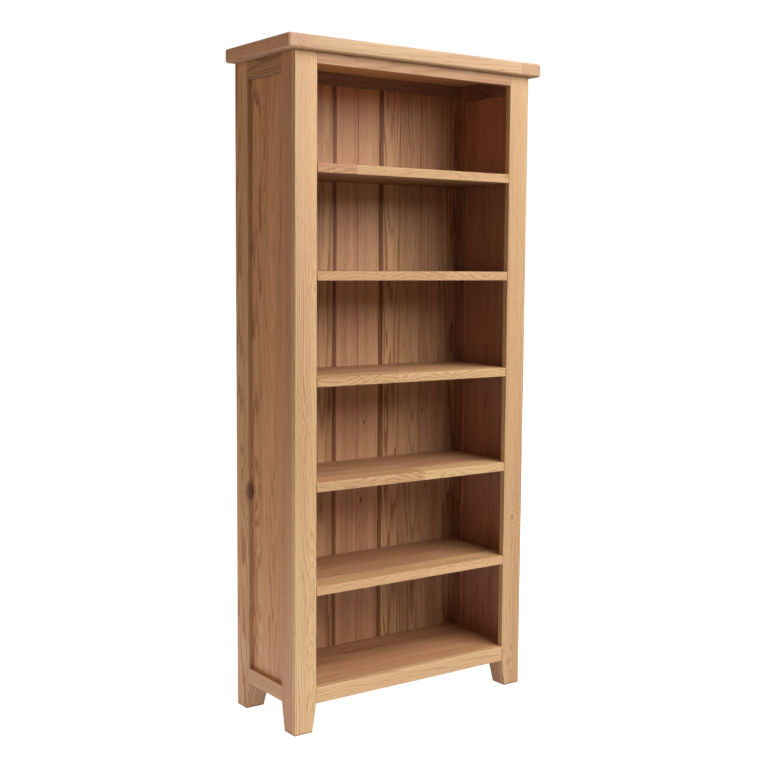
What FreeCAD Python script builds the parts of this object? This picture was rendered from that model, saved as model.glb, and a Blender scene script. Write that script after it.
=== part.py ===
import FreeCAD, Part
import os

# Oak bookcase with adjustable shelves. Millimetres. The origin is on the floor under the
# middle of the top. The open front faces -Y, the height runs along +Z, and the left and
# right halves mirror each other in the plane X = 0.

# Whole bookcase
HEIGHT = 1900.0
WIDTH = 880.0
DEPTH = 350.0

# Top: one glued panel between two end cleats
TOP_THICKNESS = 38.0
OVERHANG_FRONT = 21.0
OVERHANG_SIDE = 31.0
OVERHANG_BACK = 3.0
TOP_CORNER_RADIUS = 8.0
TOP_EDGE_RADIUS = 6.0
CLEAT_WIDTH = 75.0
TONGUE_THICKNESS = 12.0
TONGUE_LENGTH = 16.0
TONGUE_STOP = 25.0

# Face frame
FACE_THICKNESS = 20.0
FACE_STILE_WIDTH = 70.0
FACE_TOP_RAIL_HEIGHT = 31.0
BOTTOM_RAIL_HEIGHT = 45.0
CORNER_EASE = 2.0

# Side frames, each a grooved frame around a floating panel
SIDE_THICKNESS = 28.0
LEG_DEPTH = 70.0
SIDE_TOP_RAIL_HEIGHT = 50.0
PANEL_THICKNESS = 12.0
PANEL_SET_BACK = 3.0
GROOVE_DEPTH = 10.0
PANEL_ROOM = 1.0

# Feet: the lowest stretch of each leg, tapered on its two inner faces
FOOT_HEIGHT = 80.0
FOOT_TIP_WIDTH = 58.0
FOOT_TIP_DEPTH = 55.0

# Shelves
SHELF_THICKNESS = 26.0
SHELF_COUNT = 5
END_BAY_LESS = 3.6
SHELF_CLEARANCE = 1.0
SHELF_EDGE_EASE = 2.0
BATTEN_WIDTH = 20.0

# Pins that carry the loose shelves, and their holes
PIN_RADIUS = 3.0
PIN_DEPTH = 12.0
PIN_REACH = 10.0
PIN_FLAT = 1.0
PIN_END_ROOM = 0.5
HOLES_PER_SHELF = 3
HOLE_PITCH = 32.0

# Back: tongued boards in a rebate, with a rail above and below
BACK_BOARD_COUNT = 10
BACK_BOARD_THICKNESS = 12.0
BACK_SET_IN = 22.0
REBATE_WIDTH = 12.0
BOARD_GAP = 0.5
BOARD_BEVEL = 1.5
BOARD_TONGUE = 5.0
BOARD_TONGUE_ROOM = 0.5
BACK_TOP_RAIL_HEIGHT = 35.0
BACK_TOP_RAIL_THICKNESS = 16.0
BACK_BOTTOM_RAIL_THICKNESS = 22.0

# Dowels and screws
DOWEL_RADIUS = 4.0
DOWEL_LENGTH = 40.0
TOP_DOWEL_INSET = 36.0
FACE_TOP_DOWELS = 3
SCREW_RADIUS = 1.75
SCREW_HEAD_RADIUS = 3.5
SCREW_HEAD_HEIGHT = 2.5
SCREW_LENGTH = 24.0
SCREW_SLOT_WIDTH = 0.9
SCREW_SLOT_LENGTH = 4.2
SCREW_SLOT_DEPTH = 1.2
BATTEN_SCREWS = 3
TOP_SCREWS = 3

# Faces of the body under the top
BODY_X = WIDTH / 2 - OVERHANG_SIDE
FRONT_Y = OVERHANG_FRONT - DEPTH / 2
REAR_Y = DEPTH / 2 - OVERHANG_BACK
CEILING_Z = HEIGHT - TOP_THICKNESS

# Faces of the space inside
INNER_X = BODY_X - SIDE_THICKNESS
DOORWAY_X = BODY_X - FACE_STILE_WIDTH
FACE_BACK_Y = FRONT_Y + FACE_THICKNESS
BACK_Y = REAR_Y - BACK_SET_IN
PANEL_INNER_X = INNER_X + PANEL_SET_BACK
PANEL_X = PANEL_INNER_X + PANEL_THICKNESS

# Faces of the legs and rails
FRONT_LEG_Y = FRONT_Y + LEG_DEPTH
REAR_LEG_Y = REAR_Y - LEG_DEPTH
FRONT_TIP_Y = FRONT_Y + FOOT_TIP_DEPTH
REAR_TIP_Y = REAR_Y - FOOT_TIP_DEPTH
LEFT_LEG_X = (-BODY_X, -DOORWAY_X)
BOTTOM_SHELF_Z = FOOT_HEIGHT + BOTTOM_RAIL_HEIGHT
FACE_RAIL_Z = CEILING_Z - FACE_TOP_RAIL_HEIGHT
SIDE_RAIL_Z = CEILING_Z - SIDE_TOP_RAIL_HEIGHT

# The loose shelves divide the open front evenly, with the lowest and highest bays a little lower
OPEN_HEIGHT = FACE_RAIL_Z - BOTTOM_SHELF_Z - SHELF_COUNT * SHELF_THICKNESS
BAY_HEIGHT = (OPEN_HEIGHT + 2 * END_BAY_LESS) / (SHELF_COUNT + 1)
LOWEST_SHELF_Z = BOTTOM_SHELF_Z + BAY_HEIGHT - END_BAY_LESS
FRONT_PIN_Y = (FACE_BACK_Y + FRONT_LEG_Y) / 2
REAR_PIN_Y = (REAR_LEG_Y + BACK_Y) / 2

ALONG_X = FreeCAD.Vector(1, 0, 0)
ALONG_Y = FreeCAD.Vector(0, 1, 0)
ALONG_Z = FreeCAD.Vector(0, 0, 1)


def block(x_span, y_span, z_span):
    """A box between two places along each axis."""
    corner = FreeCAD.Vector(x_span[0], y_span[0], z_span[0])
    size = [abs(span[1] - span[0]) for span in (x_span, y_span, z_span)]
    return Part.makeBox(*size, corner)


def prism(corners, run):
    """The solid swept when a flat outline moves along a vector."""
    outline = Part.makePolygon([FreeCAD.Vector(*corner) for corner in corners + corners[:1]])
    return Part.Face(outline).extrude(run)


def rod(radius, start, run):
    """A round bar from a point along a vector."""
    return Part.makeCylinder(radius, run.Length, start, run)


def flipped(shape):
    """The same shape on the other side of the bookcase."""
    return shape.mirror(FreeCAD.Vector(0, 0, 0), ALONG_X)


def eased(shape, radius, wanted):
    """Round the straight edges whose middle point passes a test."""
    edges = [edge for edge in shape.Edges if wanted(edge.valueAt(middle(edge)))]
    return shape.makeFillet(radius, edges)


def middle(edge):
    """The parameter half-way along an edge."""
    return (edge.FirstParameter + edge.LastParameter) / 2


def near(value, target):
    """Whether two lengths agree to a hundredth of a millimetre."""
    return abs(value - target) < 0.01


def even_places(start, end, count):
    """Places that divide a length evenly, half a step in from each end."""
    step = (end - start) / count
    return [start + step * (index + 0.5) for index in range(count)]


def screw_room(along, head):
    """The room that a countersunk screw fills, from its head along a unit vector."""
    cone = Part.makeCone(SCREW_HEAD_RADIUS, SCREW_RADIUS, SCREW_HEAD_HEIGHT, head, along)
    return cone.fuse(rod(SCREW_RADIUS, head, along * SCREW_LENGTH)).removeSplitter()


def screw(along, head):
    """A countersunk screw with a cross cut in its head."""
    body = screw_room(along, head)
    turn = FreeCAD.Rotation(ALONG_Z, along)
    half_width = SCREW_SLOT_WIDTH / 2
    half_length = SCREW_SLOT_LENGTH / 2
    for x, y in ((half_length, half_width), (half_width, half_length)):
        slot = block((-x, x), (-y, y), (0, SCREW_SLOT_DEPTH))
        slot.Placement = FreeCAD.Placement(head, turn).multiply(slot.Placement)
        body = body.cut(slot)
    return body


def foot_taper_x(y_span):
    """The wedge that narrows the inner face of a left foot."""
    inner = -BODY_X + FACE_STILE_WIDTH
    tip = -BODY_X + FOOT_TIP_WIDTH
    outline = [(inner, y_span[0], FOOT_HEIGHT), (inner, y_span[0], 0), (tip, y_span[0], 0)]
    return prism(outline, ALONG_Y * (y_span[1] - y_span[0]))


def foot_taper_y(leg_y, tip_y, x_span):
    """The wedge that narrows the front-to-back size of a foot."""
    outline = [(x_span[0], leg_y, FOOT_HEIGHT), (x_span[0], leg_y, 0), (x_span[0], tip_y, 0)]
    return prism(outline, ALONG_X * (x_span[1] - x_span[0]))


def shelf_places():
    """The underside height of each loose shelf, lowest first."""
    step = BAY_HEIGHT + SHELF_THICKNESS
    return [LOWEST_SHELF_Z + step * index for index in range(SHELF_COUNT)]


def pin_axis(shelf_z):
    """The height of the pins under a shelf: it rests on their flats."""
    return shelf_z - (PIN_RADIUS - PIN_FLAT)


def hole_places():
    """The height of every pin hole in one column."""
    offsets = [index - (HOLES_PER_SHELF - 1) / 2 for index in range(HOLES_PER_SHELF)]
    return [pin_axis(z) + HOLE_PITCH * offset for z in shelf_places() for offset in offsets]


def pin_holes(y):
    """One column of pin holes in the left side frame."""
    run = ALONG_X * -PIN_DEPTH
    holes = [rod(PIN_RADIUS, FreeCAD.Vector(-INNER_X, y, z), run) for z in hole_places()]
    return Part.makeCompound(holes)


def side_groove(y_span):
    """The groove along a stile that holds the panel and the rail ends."""
    return block((-PANEL_X, -PANEL_INNER_X), y_span, (FOOT_HEIGHT, CEILING_Z))


def side_front_stile():
    """Front stile of the left side frame, behind the face frame."""
    stile = block((-BODY_X, -INNER_X), (FACE_BACK_Y, FRONT_LEG_Y), (0, CEILING_Z))
    stile = stile.cut(side_groove((FRONT_LEG_Y - GROOVE_DEPTH, FRONT_LEG_Y)))
    stile = stile.cut(foot_taper_y(FRONT_LEG_Y, FRONT_TIP_Y, LEFT_LEG_X))
    return stile.cut(pin_holes(FRONT_PIN_Y))


def side_rear_stile():
    """Rear stile of the left side frame, rebated for the back boards."""
    stile = block((-BODY_X, -INNER_X), (REAR_LEG_Y, REAR_Y), (0, CEILING_Z))
    stile = eased(stile, CORNER_EASE, lambda p: near(p.x, -BODY_X) and near(p.y, REAR_Y))
    stile = stile.cut(side_groove((REAR_LEG_Y, REAR_LEG_Y + GROOVE_DEPTH)))
    rebate_x = (-INNER_X - REBATE_WIDTH, -INNER_X)
    stile = stile.cut(block(rebate_x, (BACK_Y, REAR_Y), (FOOT_HEIGHT, CEILING_Z)))
    stile = stile.cut(foot_taper_y(REAR_LEG_Y, REAR_TIP_Y, LEFT_LEG_X))
    return stile.cut(pin_holes(REAR_PIN_Y))


def side_rail(z_span, groove_z, tenon_z):
    """A rail of the left side frame: groove for the panel, stub tenons in the stiles."""
    body = block((-BODY_X, -INNER_X), (FRONT_LEG_Y, REAR_LEG_Y), z_span)
    tenon_y = (FRONT_LEG_Y - GROOVE_DEPTH, REAR_LEG_Y + GROOVE_DEPTH)
    tenons = block((-PANEL_X, -PANEL_INNER_X), tenon_y, tenon_z)
    groove = block((-PANEL_X, -PANEL_INNER_X), tenon_y, groove_z)
    return body.fuse(tenons).cut(groove).removeSplitter()


def side_top_rail():
    """Top rail of the left side frame, bored for the dowels that hold the top."""
    groove_top = SIDE_RAIL_Z + GROOVE_DEPTH
    rail = side_rail((SIDE_RAIL_Z, CEILING_Z), (SIDE_RAIL_Z, groove_top), (groove_top, CEILING_Z))
    return rail.cut(Part.makeCompound(left_top_dowels()))


def side_bottom_rail():
    """Bottom rail of the left side frame."""
    groove_floor = BOTTOM_SHELF_Z - GROOVE_DEPTH
    z_span = (FOOT_HEIGHT, BOTTOM_SHELF_Z)
    rail = side_rail(z_span, (groove_floor, BOTTOM_SHELF_Z), (FOOT_HEIGHT, groove_floor))
    return rail.cut(Part.makeCompound([screw_room(*place) for place in batten_screw_places()]))


def side_panel():
    """The panel that floats in the grooves of the left side frame."""
    reach = GROOVE_DEPTH - PANEL_ROOM
    y_span = (FRONT_LEG_Y - reach, REAR_LEG_Y + reach)
    return block((-PANEL_X, -PANEL_INNER_X), y_span, (BOTTOM_SHELF_Z - reach, SIDE_RAIL_Z + reach))


def foot_block(y_span, leg_y, tip_y):
    """The block that fills the inner corner of a left foot."""
    body = block((-INNER_X, -DOORWAY_X), y_span, (0, FOOT_HEIGHT))
    body = body.cut(foot_taper_x(y_span))
    return body.cut(foot_taper_y(leg_y, tip_y, LEFT_LEG_X))


def face_stile():
    """Left stile of the face frame, down to the floor."""
    y_span = (FRONT_Y, FACE_BACK_Y)
    stile = block((-BODY_X, -DOORWAY_X), y_span, (0, CEILING_Z))
    stile = eased(stile, CORNER_EASE, lambda p: near(p.x, -BODY_X) and near(p.y, FRONT_Y))
    return stile.cut(foot_taper_x(y_span)).cut(Part.makeCompound(left_face_dowels()))


def face_rail(z_span):
    """A rail between the two stiles of the face frame."""
    rail = block((-DOORWAY_X, DOORWAY_X), (FRONT_Y, FACE_BACK_Y), z_span)
    dowels = left_face_dowels()
    return rail.cut(Part.makeCompound(dowels + [flipped(dowel) for dowel in dowels]))


def face_top_rail():
    """Top rail of the face frame, bored for the dowels that hold the top."""
    return face_rail((FACE_RAIL_Z, CEILING_Z)).cut(Part.makeCompound(front_top_dowels()))


def face_bottom_rail():
    """Bottom rail of the face frame, level with the fixed shelf."""
    return face_rail((FOOT_HEIGHT, BOTTOM_SHELF_Z))


def left_face_dowels():
    """Two dowels in each joint of the left face stile."""
    dowels = []
    for low, high in ((FOOT_HEIGHT, BOTTOM_SHELF_Z), (FACE_RAIL_Z, CEILING_Z)):
        for z in even_places(low, high, 2):
            start = FreeCAD.Vector(-DOORWAY_X - DOWEL_LENGTH / 2, FRONT_Y + FACE_THICKNESS / 2, z)
            dowels.append(rod(DOWEL_RADIUS, start, ALONG_X * DOWEL_LENGTH))
    return dowels


def left_top_dowels():
    """Dowels between the left side frame and the top."""
    x = -(BODY_X + INNER_X) / 2
    start_z = CEILING_Z - DOWEL_LENGTH / 2
    places = (FRONT_LEG_Y + TOP_DOWEL_INSET, REAR_LEG_Y - TOP_DOWEL_INSET)
    run = ALONG_Z * DOWEL_LENGTH
    return [rod(DOWEL_RADIUS, FreeCAD.Vector(x, y, start_z), run) for y in places]


def front_top_dowels():
    """Dowels between the face frame and the top."""
    y = FRONT_Y + FACE_THICKNESS / 2
    start_z = CEILING_Z - DOWEL_LENGTH / 2
    places = even_places(-DOORWAY_X, DOORWAY_X, FACE_TOP_DOWELS)
    run = ALONG_Z * DOWEL_LENGTH
    return [rod(DOWEL_RADIUS, FreeCAD.Vector(x, y, start_z), run) for x in places]


def top_dowels():
    """Every dowel that enters the top."""
    left = left_top_dowels()
    return left + [flipped(dowel) for dowel in left] + front_top_dowels()


def top_slab():
    """The whole top before it is divided, with soft corners and edges."""
    x_span = (-WIDTH / 2, WIDTH / 2)
    slab = block(x_span, (-DEPTH / 2, DEPTH / 2), (CEILING_Z, HEIGHT))
    middle_z = (CEILING_Z + HEIGHT) / 2
    slab = eased(slab, TOP_CORNER_RADIUS, lambda p: near(p.z, middle_z))
    return eased(slab, TOP_EDGE_RADIUS, lambda p: near(p.z, CEILING_Z) or near(p.z, HEIGHT))


def top_tongue(length):
    """The stopped tongue on each end of the top panel, at a given length."""
    reach_x = WIDTH / 2 - CLEAT_WIDTH + length
    reach_y = DEPTH / 2 - TONGUE_STOP
    z = (CEILING_Z + HEIGHT) / 2
    half = TONGUE_THICKNESS / 2
    return block((-reach_x, reach_x), (-reach_y, reach_y), (z - half, z + half))


def top_panel():
    """The middle of the top, tongued into the cleats."""
    seam_x = WIDTH / 2 - CLEAT_WIDTH
    middle_part = block((-seam_x, seam_x), (-DEPTH, DEPTH), (0, HEIGHT * 2))
    panel = top_slab().common(middle_part)
    panel = panel.fuse(top_tongue(TONGUE_LENGTH - PANEL_ROOM)).removeSplitter()
    fixings = front_top_dowels() + [screw_room(*place) for place in top_screw_places()]
    return panel.cut(Part.makeCompound(fixings))


def top_cleat():
    """The left end of the top, grooved for the tongue."""
    seam_x = WIDTH / 2 - CLEAT_WIDTH
    end_part = block((-WIDTH, -seam_x), (-DEPTH, DEPTH), (0, HEIGHT * 2))
    cleat = top_slab().common(end_part).cut(top_tongue(TONGUE_LENGTH))
    return cleat.cut(Part.makeCompound(left_top_dowels()))


def top_screw_places():
    """Screws up through the back top rail into the top: direction and head."""
    y = BACK_Y - BACK_TOP_RAIL_THICKNESS / 2
    z = CEILING_Z - SCREW_LENGTH / 2
    return [(ALONG_Z, FreeCAD.Vector(x, y, z)) for x in even_places(-INNER_X, INNER_X, TOP_SCREWS)]


def screw_wells():
    """The wider holes under the top screws, up to their heads."""
    base_z = CEILING_Z - BACK_TOP_RAIL_HEIGHT
    wells = []
    for _, head in top_screw_places():
        start = FreeCAD.Vector(head.x, head.y, base_z)
        wells.append(rod(SCREW_HEAD_RADIUS, start, ALONG_Z * (head.z - base_z)))
    return wells


def board_edges():
    """The seams between the back boards, with the two outer edges."""
    reach = INNER_X + REBATE_WIDTH
    step = 2 * reach / BACK_BOARD_COUNT
    return [-reach + step * index for index in range(BACK_BOARD_COUNT + 1)]


def back_screw_places():
    """One screw at the head and one at the foot of each back board."""
    edges = board_edges()
    head_z = CEILING_Z - BACK_TOP_RAIL_HEIGHT / 2
    foot_z = (FOOT_HEIGHT + BOTTOM_SHELF_Z - SHELF_THICKNESS) / 2
    y = BACK_Y + BACK_BOARD_THICKNESS
    places = []
    for left, right in zip(edges, edges[1:]):
        x = (max(left, -INNER_X) + min(right, INNER_X)) / 2
        places += [(-ALONG_Y, FreeCAD.Vector(x, y, z)) for z in (head_z, foot_z)]
    return places


def back_board(index):
    """One tongued back board, with a small bevel on each front edge."""
    edges = board_edges()
    left = edges[index] + BOARD_GAP / 2
    right = edges[index + 1] - BOARD_GAP / 2
    rear = BACK_Y + BACK_BOARD_THICKNESS
    z_span = (FOOT_HEIGHT, CEILING_Z)
    outline = [
        (left + BOARD_BEVEL, BACK_Y, FOOT_HEIGHT),
        (right - BOARD_BEVEL, BACK_Y, FOOT_HEIGHT),
        (right, BACK_Y + BOARD_BEVEL, FOOT_HEIGHT),
        (right, rear, FOOT_HEIGHT),
        (left, rear, FOOT_HEIGHT),
        (left, BACK_Y + BOARD_BEVEL, FOOT_HEIGHT),
    ]
    board = prism(outline, ALONG_Z * (CEILING_Z - FOOT_HEIGHT))
    third = BACK_BOARD_THICKNESS / 3
    tongue_y = (BACK_Y + third, rear - third)
    if index + 1 < BACK_BOARD_COUNT:
        board = board.fuse(block((right, right + BOARD_TONGUE), tongue_y, z_span)).removeSplitter()
    if index > 0:
        depth = BOARD_TONGUE - BOARD_GAP + BOARD_TONGUE_ROOM
        board = board.cut(block((left, left + depth), tongue_y, z_span))
    return board.cut(Part.makeCompound([screw_room(*place) for place in back_screw_places()]))


def back_top_rail():
    """The rail under the top, in front of the back boards."""
    y_span = (BACK_Y - BACK_TOP_RAIL_THICKNESS, BACK_Y)
    rail = block((-INNER_X, INNER_X), y_span, (CEILING_Z - BACK_TOP_RAIL_HEIGHT, CEILING_Z))
    fixings = [screw_room(*place) for place in back_screw_places() + top_screw_places()]
    return rail.cut(Part.makeCompound(fixings)).cut(Part.makeCompound(screw_wells()))


def back_bottom_rail():
    """The rail under the fixed shelf, between the battens."""
    reach = INNER_X - BATTEN_WIDTH
    y_span = (BACK_Y - BACK_BOTTOM_RAIL_THICKNESS, BACK_Y)
    z_span = (FOOT_HEIGHT, BOTTOM_SHELF_Z - SHELF_THICKNESS)
    rail = block((-reach, reach), y_span, z_span)
    return rail.cut(Part.makeCompound([screw_room(*place) for place in back_screw_places()]))


def batten_screw_places():
    """Screws from the left batten into the side frame: direction and head."""
    z = (FOOT_HEIGHT + BOTTOM_SHELF_Z - SHELF_THICKNESS) / 2
    places = even_places(FRONT_LEG_Y, REAR_LEG_Y, BATTEN_SCREWS)
    head_x = BATTEN_WIDTH - INNER_X
    return [(-ALONG_X, FreeCAD.Vector(head_x, y, z)) for y in places]


def batten():
    """The left batten that carries the fixed shelf."""
    z_span = (FOOT_HEIGHT, BOTTOM_SHELF_Z - SHELF_THICKNESS)
    body = block((-INNER_X, BATTEN_WIDTH - INNER_X), (FACE_BACK_Y, BACK_Y), z_span)
    return body.cut(Part.makeCompound([screw_room(*place) for place in batten_screw_places()]))


def bottom_shelf():
    """The fixed shelf, behind the bottom rail of the face frame."""
    z_span = (BOTTOM_SHELF_Z - SHELF_THICKNESS, BOTTOM_SHELF_Z)
    return block((-INNER_X, INNER_X), (FACE_BACK_Y, BACK_Y), z_span)


def loose_shelf(shelf_z):
    """A loose shelf, notched round the face stiles so that its front edge is flush."""
    z_span = (shelf_z, shelf_z + SHELF_THICKNESS)
    wide = INNER_X - SHELF_CLEARANCE
    narrow = DOORWAY_X - SHELF_CLEARANCE
    deep = block((-wide, wide), (FACE_BACK_Y + SHELF_CLEARANCE, BACK_Y - SHELF_CLEARANCE), z_span)
    nose = block((-narrow, narrow), (FRONT_Y, FACE_BACK_Y + SHELF_CLEARANCE), z_span)
    shelf = deep.fuse(nose).removeSplitter()
    return eased(shelf, SHELF_EDGE_EASE, lambda p: near(p.y, FRONT_Y) and near(p.x, 0))


def shelf_pin(y, z):
    """A left-hand pin: its free half has a flat on which the shelf rests."""
    inner_end = -INNER_X - PIN_DEPTH + PIN_END_ROOM
    length = PIN_DEPTH - PIN_END_ROOM + PIN_REACH
    pin = rod(PIN_RADIUS, FreeCAD.Vector(inner_end, y, z), ALONG_X * length)
    x_span = (-INNER_X, PIN_REACH - INNER_X)
    flat_z = (z + PIN_RADIUS - PIN_FLAT, z + PIN_RADIUS)
    return pin.cut(block(x_span, (y - PIN_RADIUS, y + PIN_RADIUS), flat_z))


def shelf_pins(shelf_z):
    """The four pins under one loose shelf."""
    left = [shelf_pin(y, pin_axis(shelf_z)) for y in (FRONT_PIN_Y, REAR_PIN_Y)]
    return Part.makeCompound(left + [flipped(pin) for pin in left])


def both_sides(name, shape):
    """A left piece and its mirror image, named by side."""
    return {name + "_left": shape, name + "_right": flipped(shape)}


def carcass():
    """The fixed pieces of the body."""
    pieces = {}
    pieces.update(both_sides("face_stile", face_stile()))
    pieces["face_top_rail"] = face_top_rail()
    pieces["face_bottom_rail"] = face_bottom_rail()
    pieces.update(both_sides("side_front_stile", side_front_stile()))
    pieces.update(both_sides("side_rear_stile", side_rear_stile()))
    pieces.update(both_sides("side_top_rail", side_top_rail()))
    pieces.update(both_sides("side_bottom_rail", side_bottom_rail()))
    pieces.update(both_sides("side_panel", side_panel()))
    front = foot_block((FACE_BACK_Y, FRONT_LEG_Y), FRONT_LEG_Y, FRONT_TIP_Y)
    pieces.update(both_sides("front_foot_block", front))
    rear = foot_block((REAR_LEG_Y, REAR_Y), REAR_LEG_Y, REAR_TIP_Y)
    pieces.update(both_sides("rear_foot_block", rear))
    pieces.update(both_sides("shelf_batten", batten()))
    pieces["bottom_shelf"] = bottom_shelf()
    return pieces


def back():
    """The back boards and the two rails that hold them."""
    pieces = {f"back_board_{index + 1}": back_board(index) for index in range(BACK_BOARD_COUNT)}
    pieces["back_top_rail"] = back_top_rail()
    pieces["back_bottom_rail"] = back_bottom_rail()
    return pieces


def top():
    """The top panel and its two cleats."""
    return {"top_panel": top_panel(), **both_sides("top_cleat", top_cleat())}


def shelves():
    """The loose shelves and the pins that carry them, lowest first."""
    pieces = {}
    for number, shelf_z in enumerate(shelf_places(), 1):
        pieces[f"shelf_{number}"] = loose_shelf(shelf_z)
        pieces[f"shelf_pins_{number}"] = shelf_pins(shelf_z)
    return pieces


def fixings():
    """Dowels and screws, each kind in one group."""
    face = left_face_dowels()
    batten_screws = [screw(*place) for place in batten_screw_places()]
    return {
        "face_dowels": Part.makeCompound(face + [flipped(dowel) for dowel in face]),
        "top_dowels": Part.makeCompound(top_dowels()),
        "top_screws": Part.makeCompound([screw(*place) for place in top_screw_places()]),
        "back_screws": Part.makeCompound([screw(*place) for place in back_screw_places()]),
        "batten_screws": Part.makeCompound(batten_screws + [flipped(s) for s in batten_screws]),
    }


def main():
    """Build every piece and write one STEP file for each."""
    os.makedirs("parts", exist_ok=True)
    pieces = {**carcass(), **back(), **top(), **shelves(), **fixings()}
    for name, shape in pieces.items():
        if not shape.isValid():
            raise ValueError(f"{name} is not a valid shape")
        shape.exportStep(os.path.join("parts", f"{name}.step"))
        print(f"{name:24s} {len(shape.Solids):3d} solids {shape.Volume / 1000:10.1f} cm3")
    print(len(pieces), "nodes")


main()
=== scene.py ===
import logging
import math
import random
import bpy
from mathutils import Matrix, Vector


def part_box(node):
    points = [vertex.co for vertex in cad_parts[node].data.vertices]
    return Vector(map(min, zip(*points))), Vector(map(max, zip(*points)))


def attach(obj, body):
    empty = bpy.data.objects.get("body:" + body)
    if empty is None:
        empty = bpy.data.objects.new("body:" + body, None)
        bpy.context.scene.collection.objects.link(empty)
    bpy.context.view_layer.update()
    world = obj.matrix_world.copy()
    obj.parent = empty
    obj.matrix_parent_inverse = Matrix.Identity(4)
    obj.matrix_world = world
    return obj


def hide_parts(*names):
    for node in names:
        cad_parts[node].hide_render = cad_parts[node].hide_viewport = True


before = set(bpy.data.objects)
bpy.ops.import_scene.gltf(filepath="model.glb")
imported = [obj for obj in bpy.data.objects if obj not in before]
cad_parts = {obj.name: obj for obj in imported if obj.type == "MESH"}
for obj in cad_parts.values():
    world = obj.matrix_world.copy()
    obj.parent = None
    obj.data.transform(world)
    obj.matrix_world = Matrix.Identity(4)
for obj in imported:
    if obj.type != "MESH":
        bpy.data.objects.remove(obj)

import zlib
from dataclasses import dataclass, field
from enum import Enum
from typing import Callable, ClassVar

import bmesh
import bpy
import numpy as np
from mathutils import Matrix, Vector

# Looks of an oak bookcase with adjustable shelves. Metres, in the frame of the imported model:
# the floor is Z = 0, the open front faces -Y, and left is -X. Every board is cut, eased and
# bored in mesh code, and carries its own piece of the log as corner attributes, which the oak
# finishes read: "log" is the place in the tree, "tone" the board's own colour and the painted
# shade on some faces, "figure" how strongly its rings show, "heart" a dark heartwood band and
# "knot" the nearest knot.

LOG = logging.getLogger("bookcase")
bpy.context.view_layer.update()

MM = 0.001
ROOT_BODY = "carcass"
SHELVES = range(1, 6)
# Stands for no knot and no band: so many of its own sizes away.
FAR = 9.0
# How far a cutter runs past the face that it enters.
OVERSHOOT = 1 * MM
CUT_SNAP = 1e-7

Triple = tuple[float, float, float]
Tree = bpy.types.NodeTree
Socket = bpy.types.NodeSocket
Material = bpy.types.Material
Object = bpy.types.Object
Blank = bmesh.types.BMesh
Edge = bmesh.types.BMEdge

# Blender's names for the nodes. A Map Range node reads the span from input 1 to input 2 and
# gives the span from 3 to 4; a Mix node's colours are inputs 6 and 7.
ADD_SHADER = "ShaderNodeAddShader"
ATTRIBUTE = "ShaderNodeAttribute"
BACKGROUND = "ShaderNodeBackground"
BUMP = "ShaderNodeBump"
COORDINATES = "ShaderNodeTexCoord"
DIFFUSE = "ShaderNodeBsdfDiffuse"
EMISSION = "ShaderNodeEmission"
LIGHT_PATH = "ShaderNodeLightPath"
MAP_RANGE = "ShaderNodeMapRange"
MATH = "ShaderNodeMath"
MIX = "ShaderNodeMix"
MIX_SHADER = "ShaderNodeMixShader"
NOISE = "ShaderNodeTexNoise"
OUTPUT = "ShaderNodeOutputMaterial"
PRINCIPLED = "ShaderNodeBsdfPrincipled"
SEPARATE = "ShaderNodeSeparateXYZ"
VECTOR_MATH = "ShaderNodeVectorMath"
WAVE = "ShaderNodeTexWave"


def linear(hex_code: str) -> tuple[float, float, float, float]:
    """Turn an sRGB hex colour into linear light.

    Args:
        hex_code: six hex digits with a leading #.

    Returns:
        Red, green, blue and a full alpha.
    """
    toe, slope, lift, power = 0.04045, 12.92, 0.055, 2.4
    parts = [int(hex_code[start:start + 2], 16) / 255 for start in (1, 3, 5)]
    light = [v / slope if v <= toe else ((v + lift) / (1 + lift)) ** power for v in parts]
    return (light[0], light[1], light[2], 1.0)


def add_node(tree: Tree, kind: str, settings: dict[int | str, object] | None = None,
             links: dict[int | str, Socket] | None = None) -> bpy.types.Node:
    """Add one node with its settings and links.

    Args:
        tree: the material's or world's nodes.
        kind: Blender's name for the node.
        settings: values for the node's own settings, or for its sockets by name or number.
        links: output sockets to join to this node's inputs, by name or number.

    Returns:
        The new node.
    """
    node = tree.nodes.new(kind)
    for name, value in (settings or {}).items():
        if isinstance(name, int) or name in node.inputs:
            node.inputs[name].default_value = value
        else:
            setattr(node, name, value)
    for name, source in (links or {}).items():
        tree.links.new(source, node.inputs[name])
    return node


def new_material(name: str) -> tuple[Material, Tree]:
    """Start a material that has no nodes yet.

    Args:
        name: what the material is called.

    Returns:
        The material and its empty node tree.
    """
    material = bpy.data.materials.new(name)
    material.use_nodes = True
    material.node_tree.nodes.clear()
    return material, material.node_tree


def placed(name: str, data: bpy.types.ID) -> Object:
    """Put a new object in the scene.

    Args:
        name: what it is called.
        data: its mesh, lamp or camera.

    Returns:
        The object, at the origin.
    """
    item = bpy.data.objects.new(name, data)
    bpy.context.scene.collection.objects.link(item)
    return item


class Side(Enum):
    """A side of the bookcase, as the sign of its X."""

    LEFT = -1
    RIGHT = 1

    def named(self, node: str) -> str:
        """The CAD node's name on this side."""
        return f"{node}_{self.name.lower()}"


class Grain(Enum):
    """The axis that a board's grain follows."""

    X = 0
    Y = 1
    Z = 2


class Cut(Enum):
    """How a board was sawn: the pith's distance across and through it, in metres."""

    FLAT = (0.012, 0.075)
    RIFT = (0.060, 0.060)
    QUARTER = (0.110, 0.014)


# ---------------------------------------------------------------------------- finishes


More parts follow.
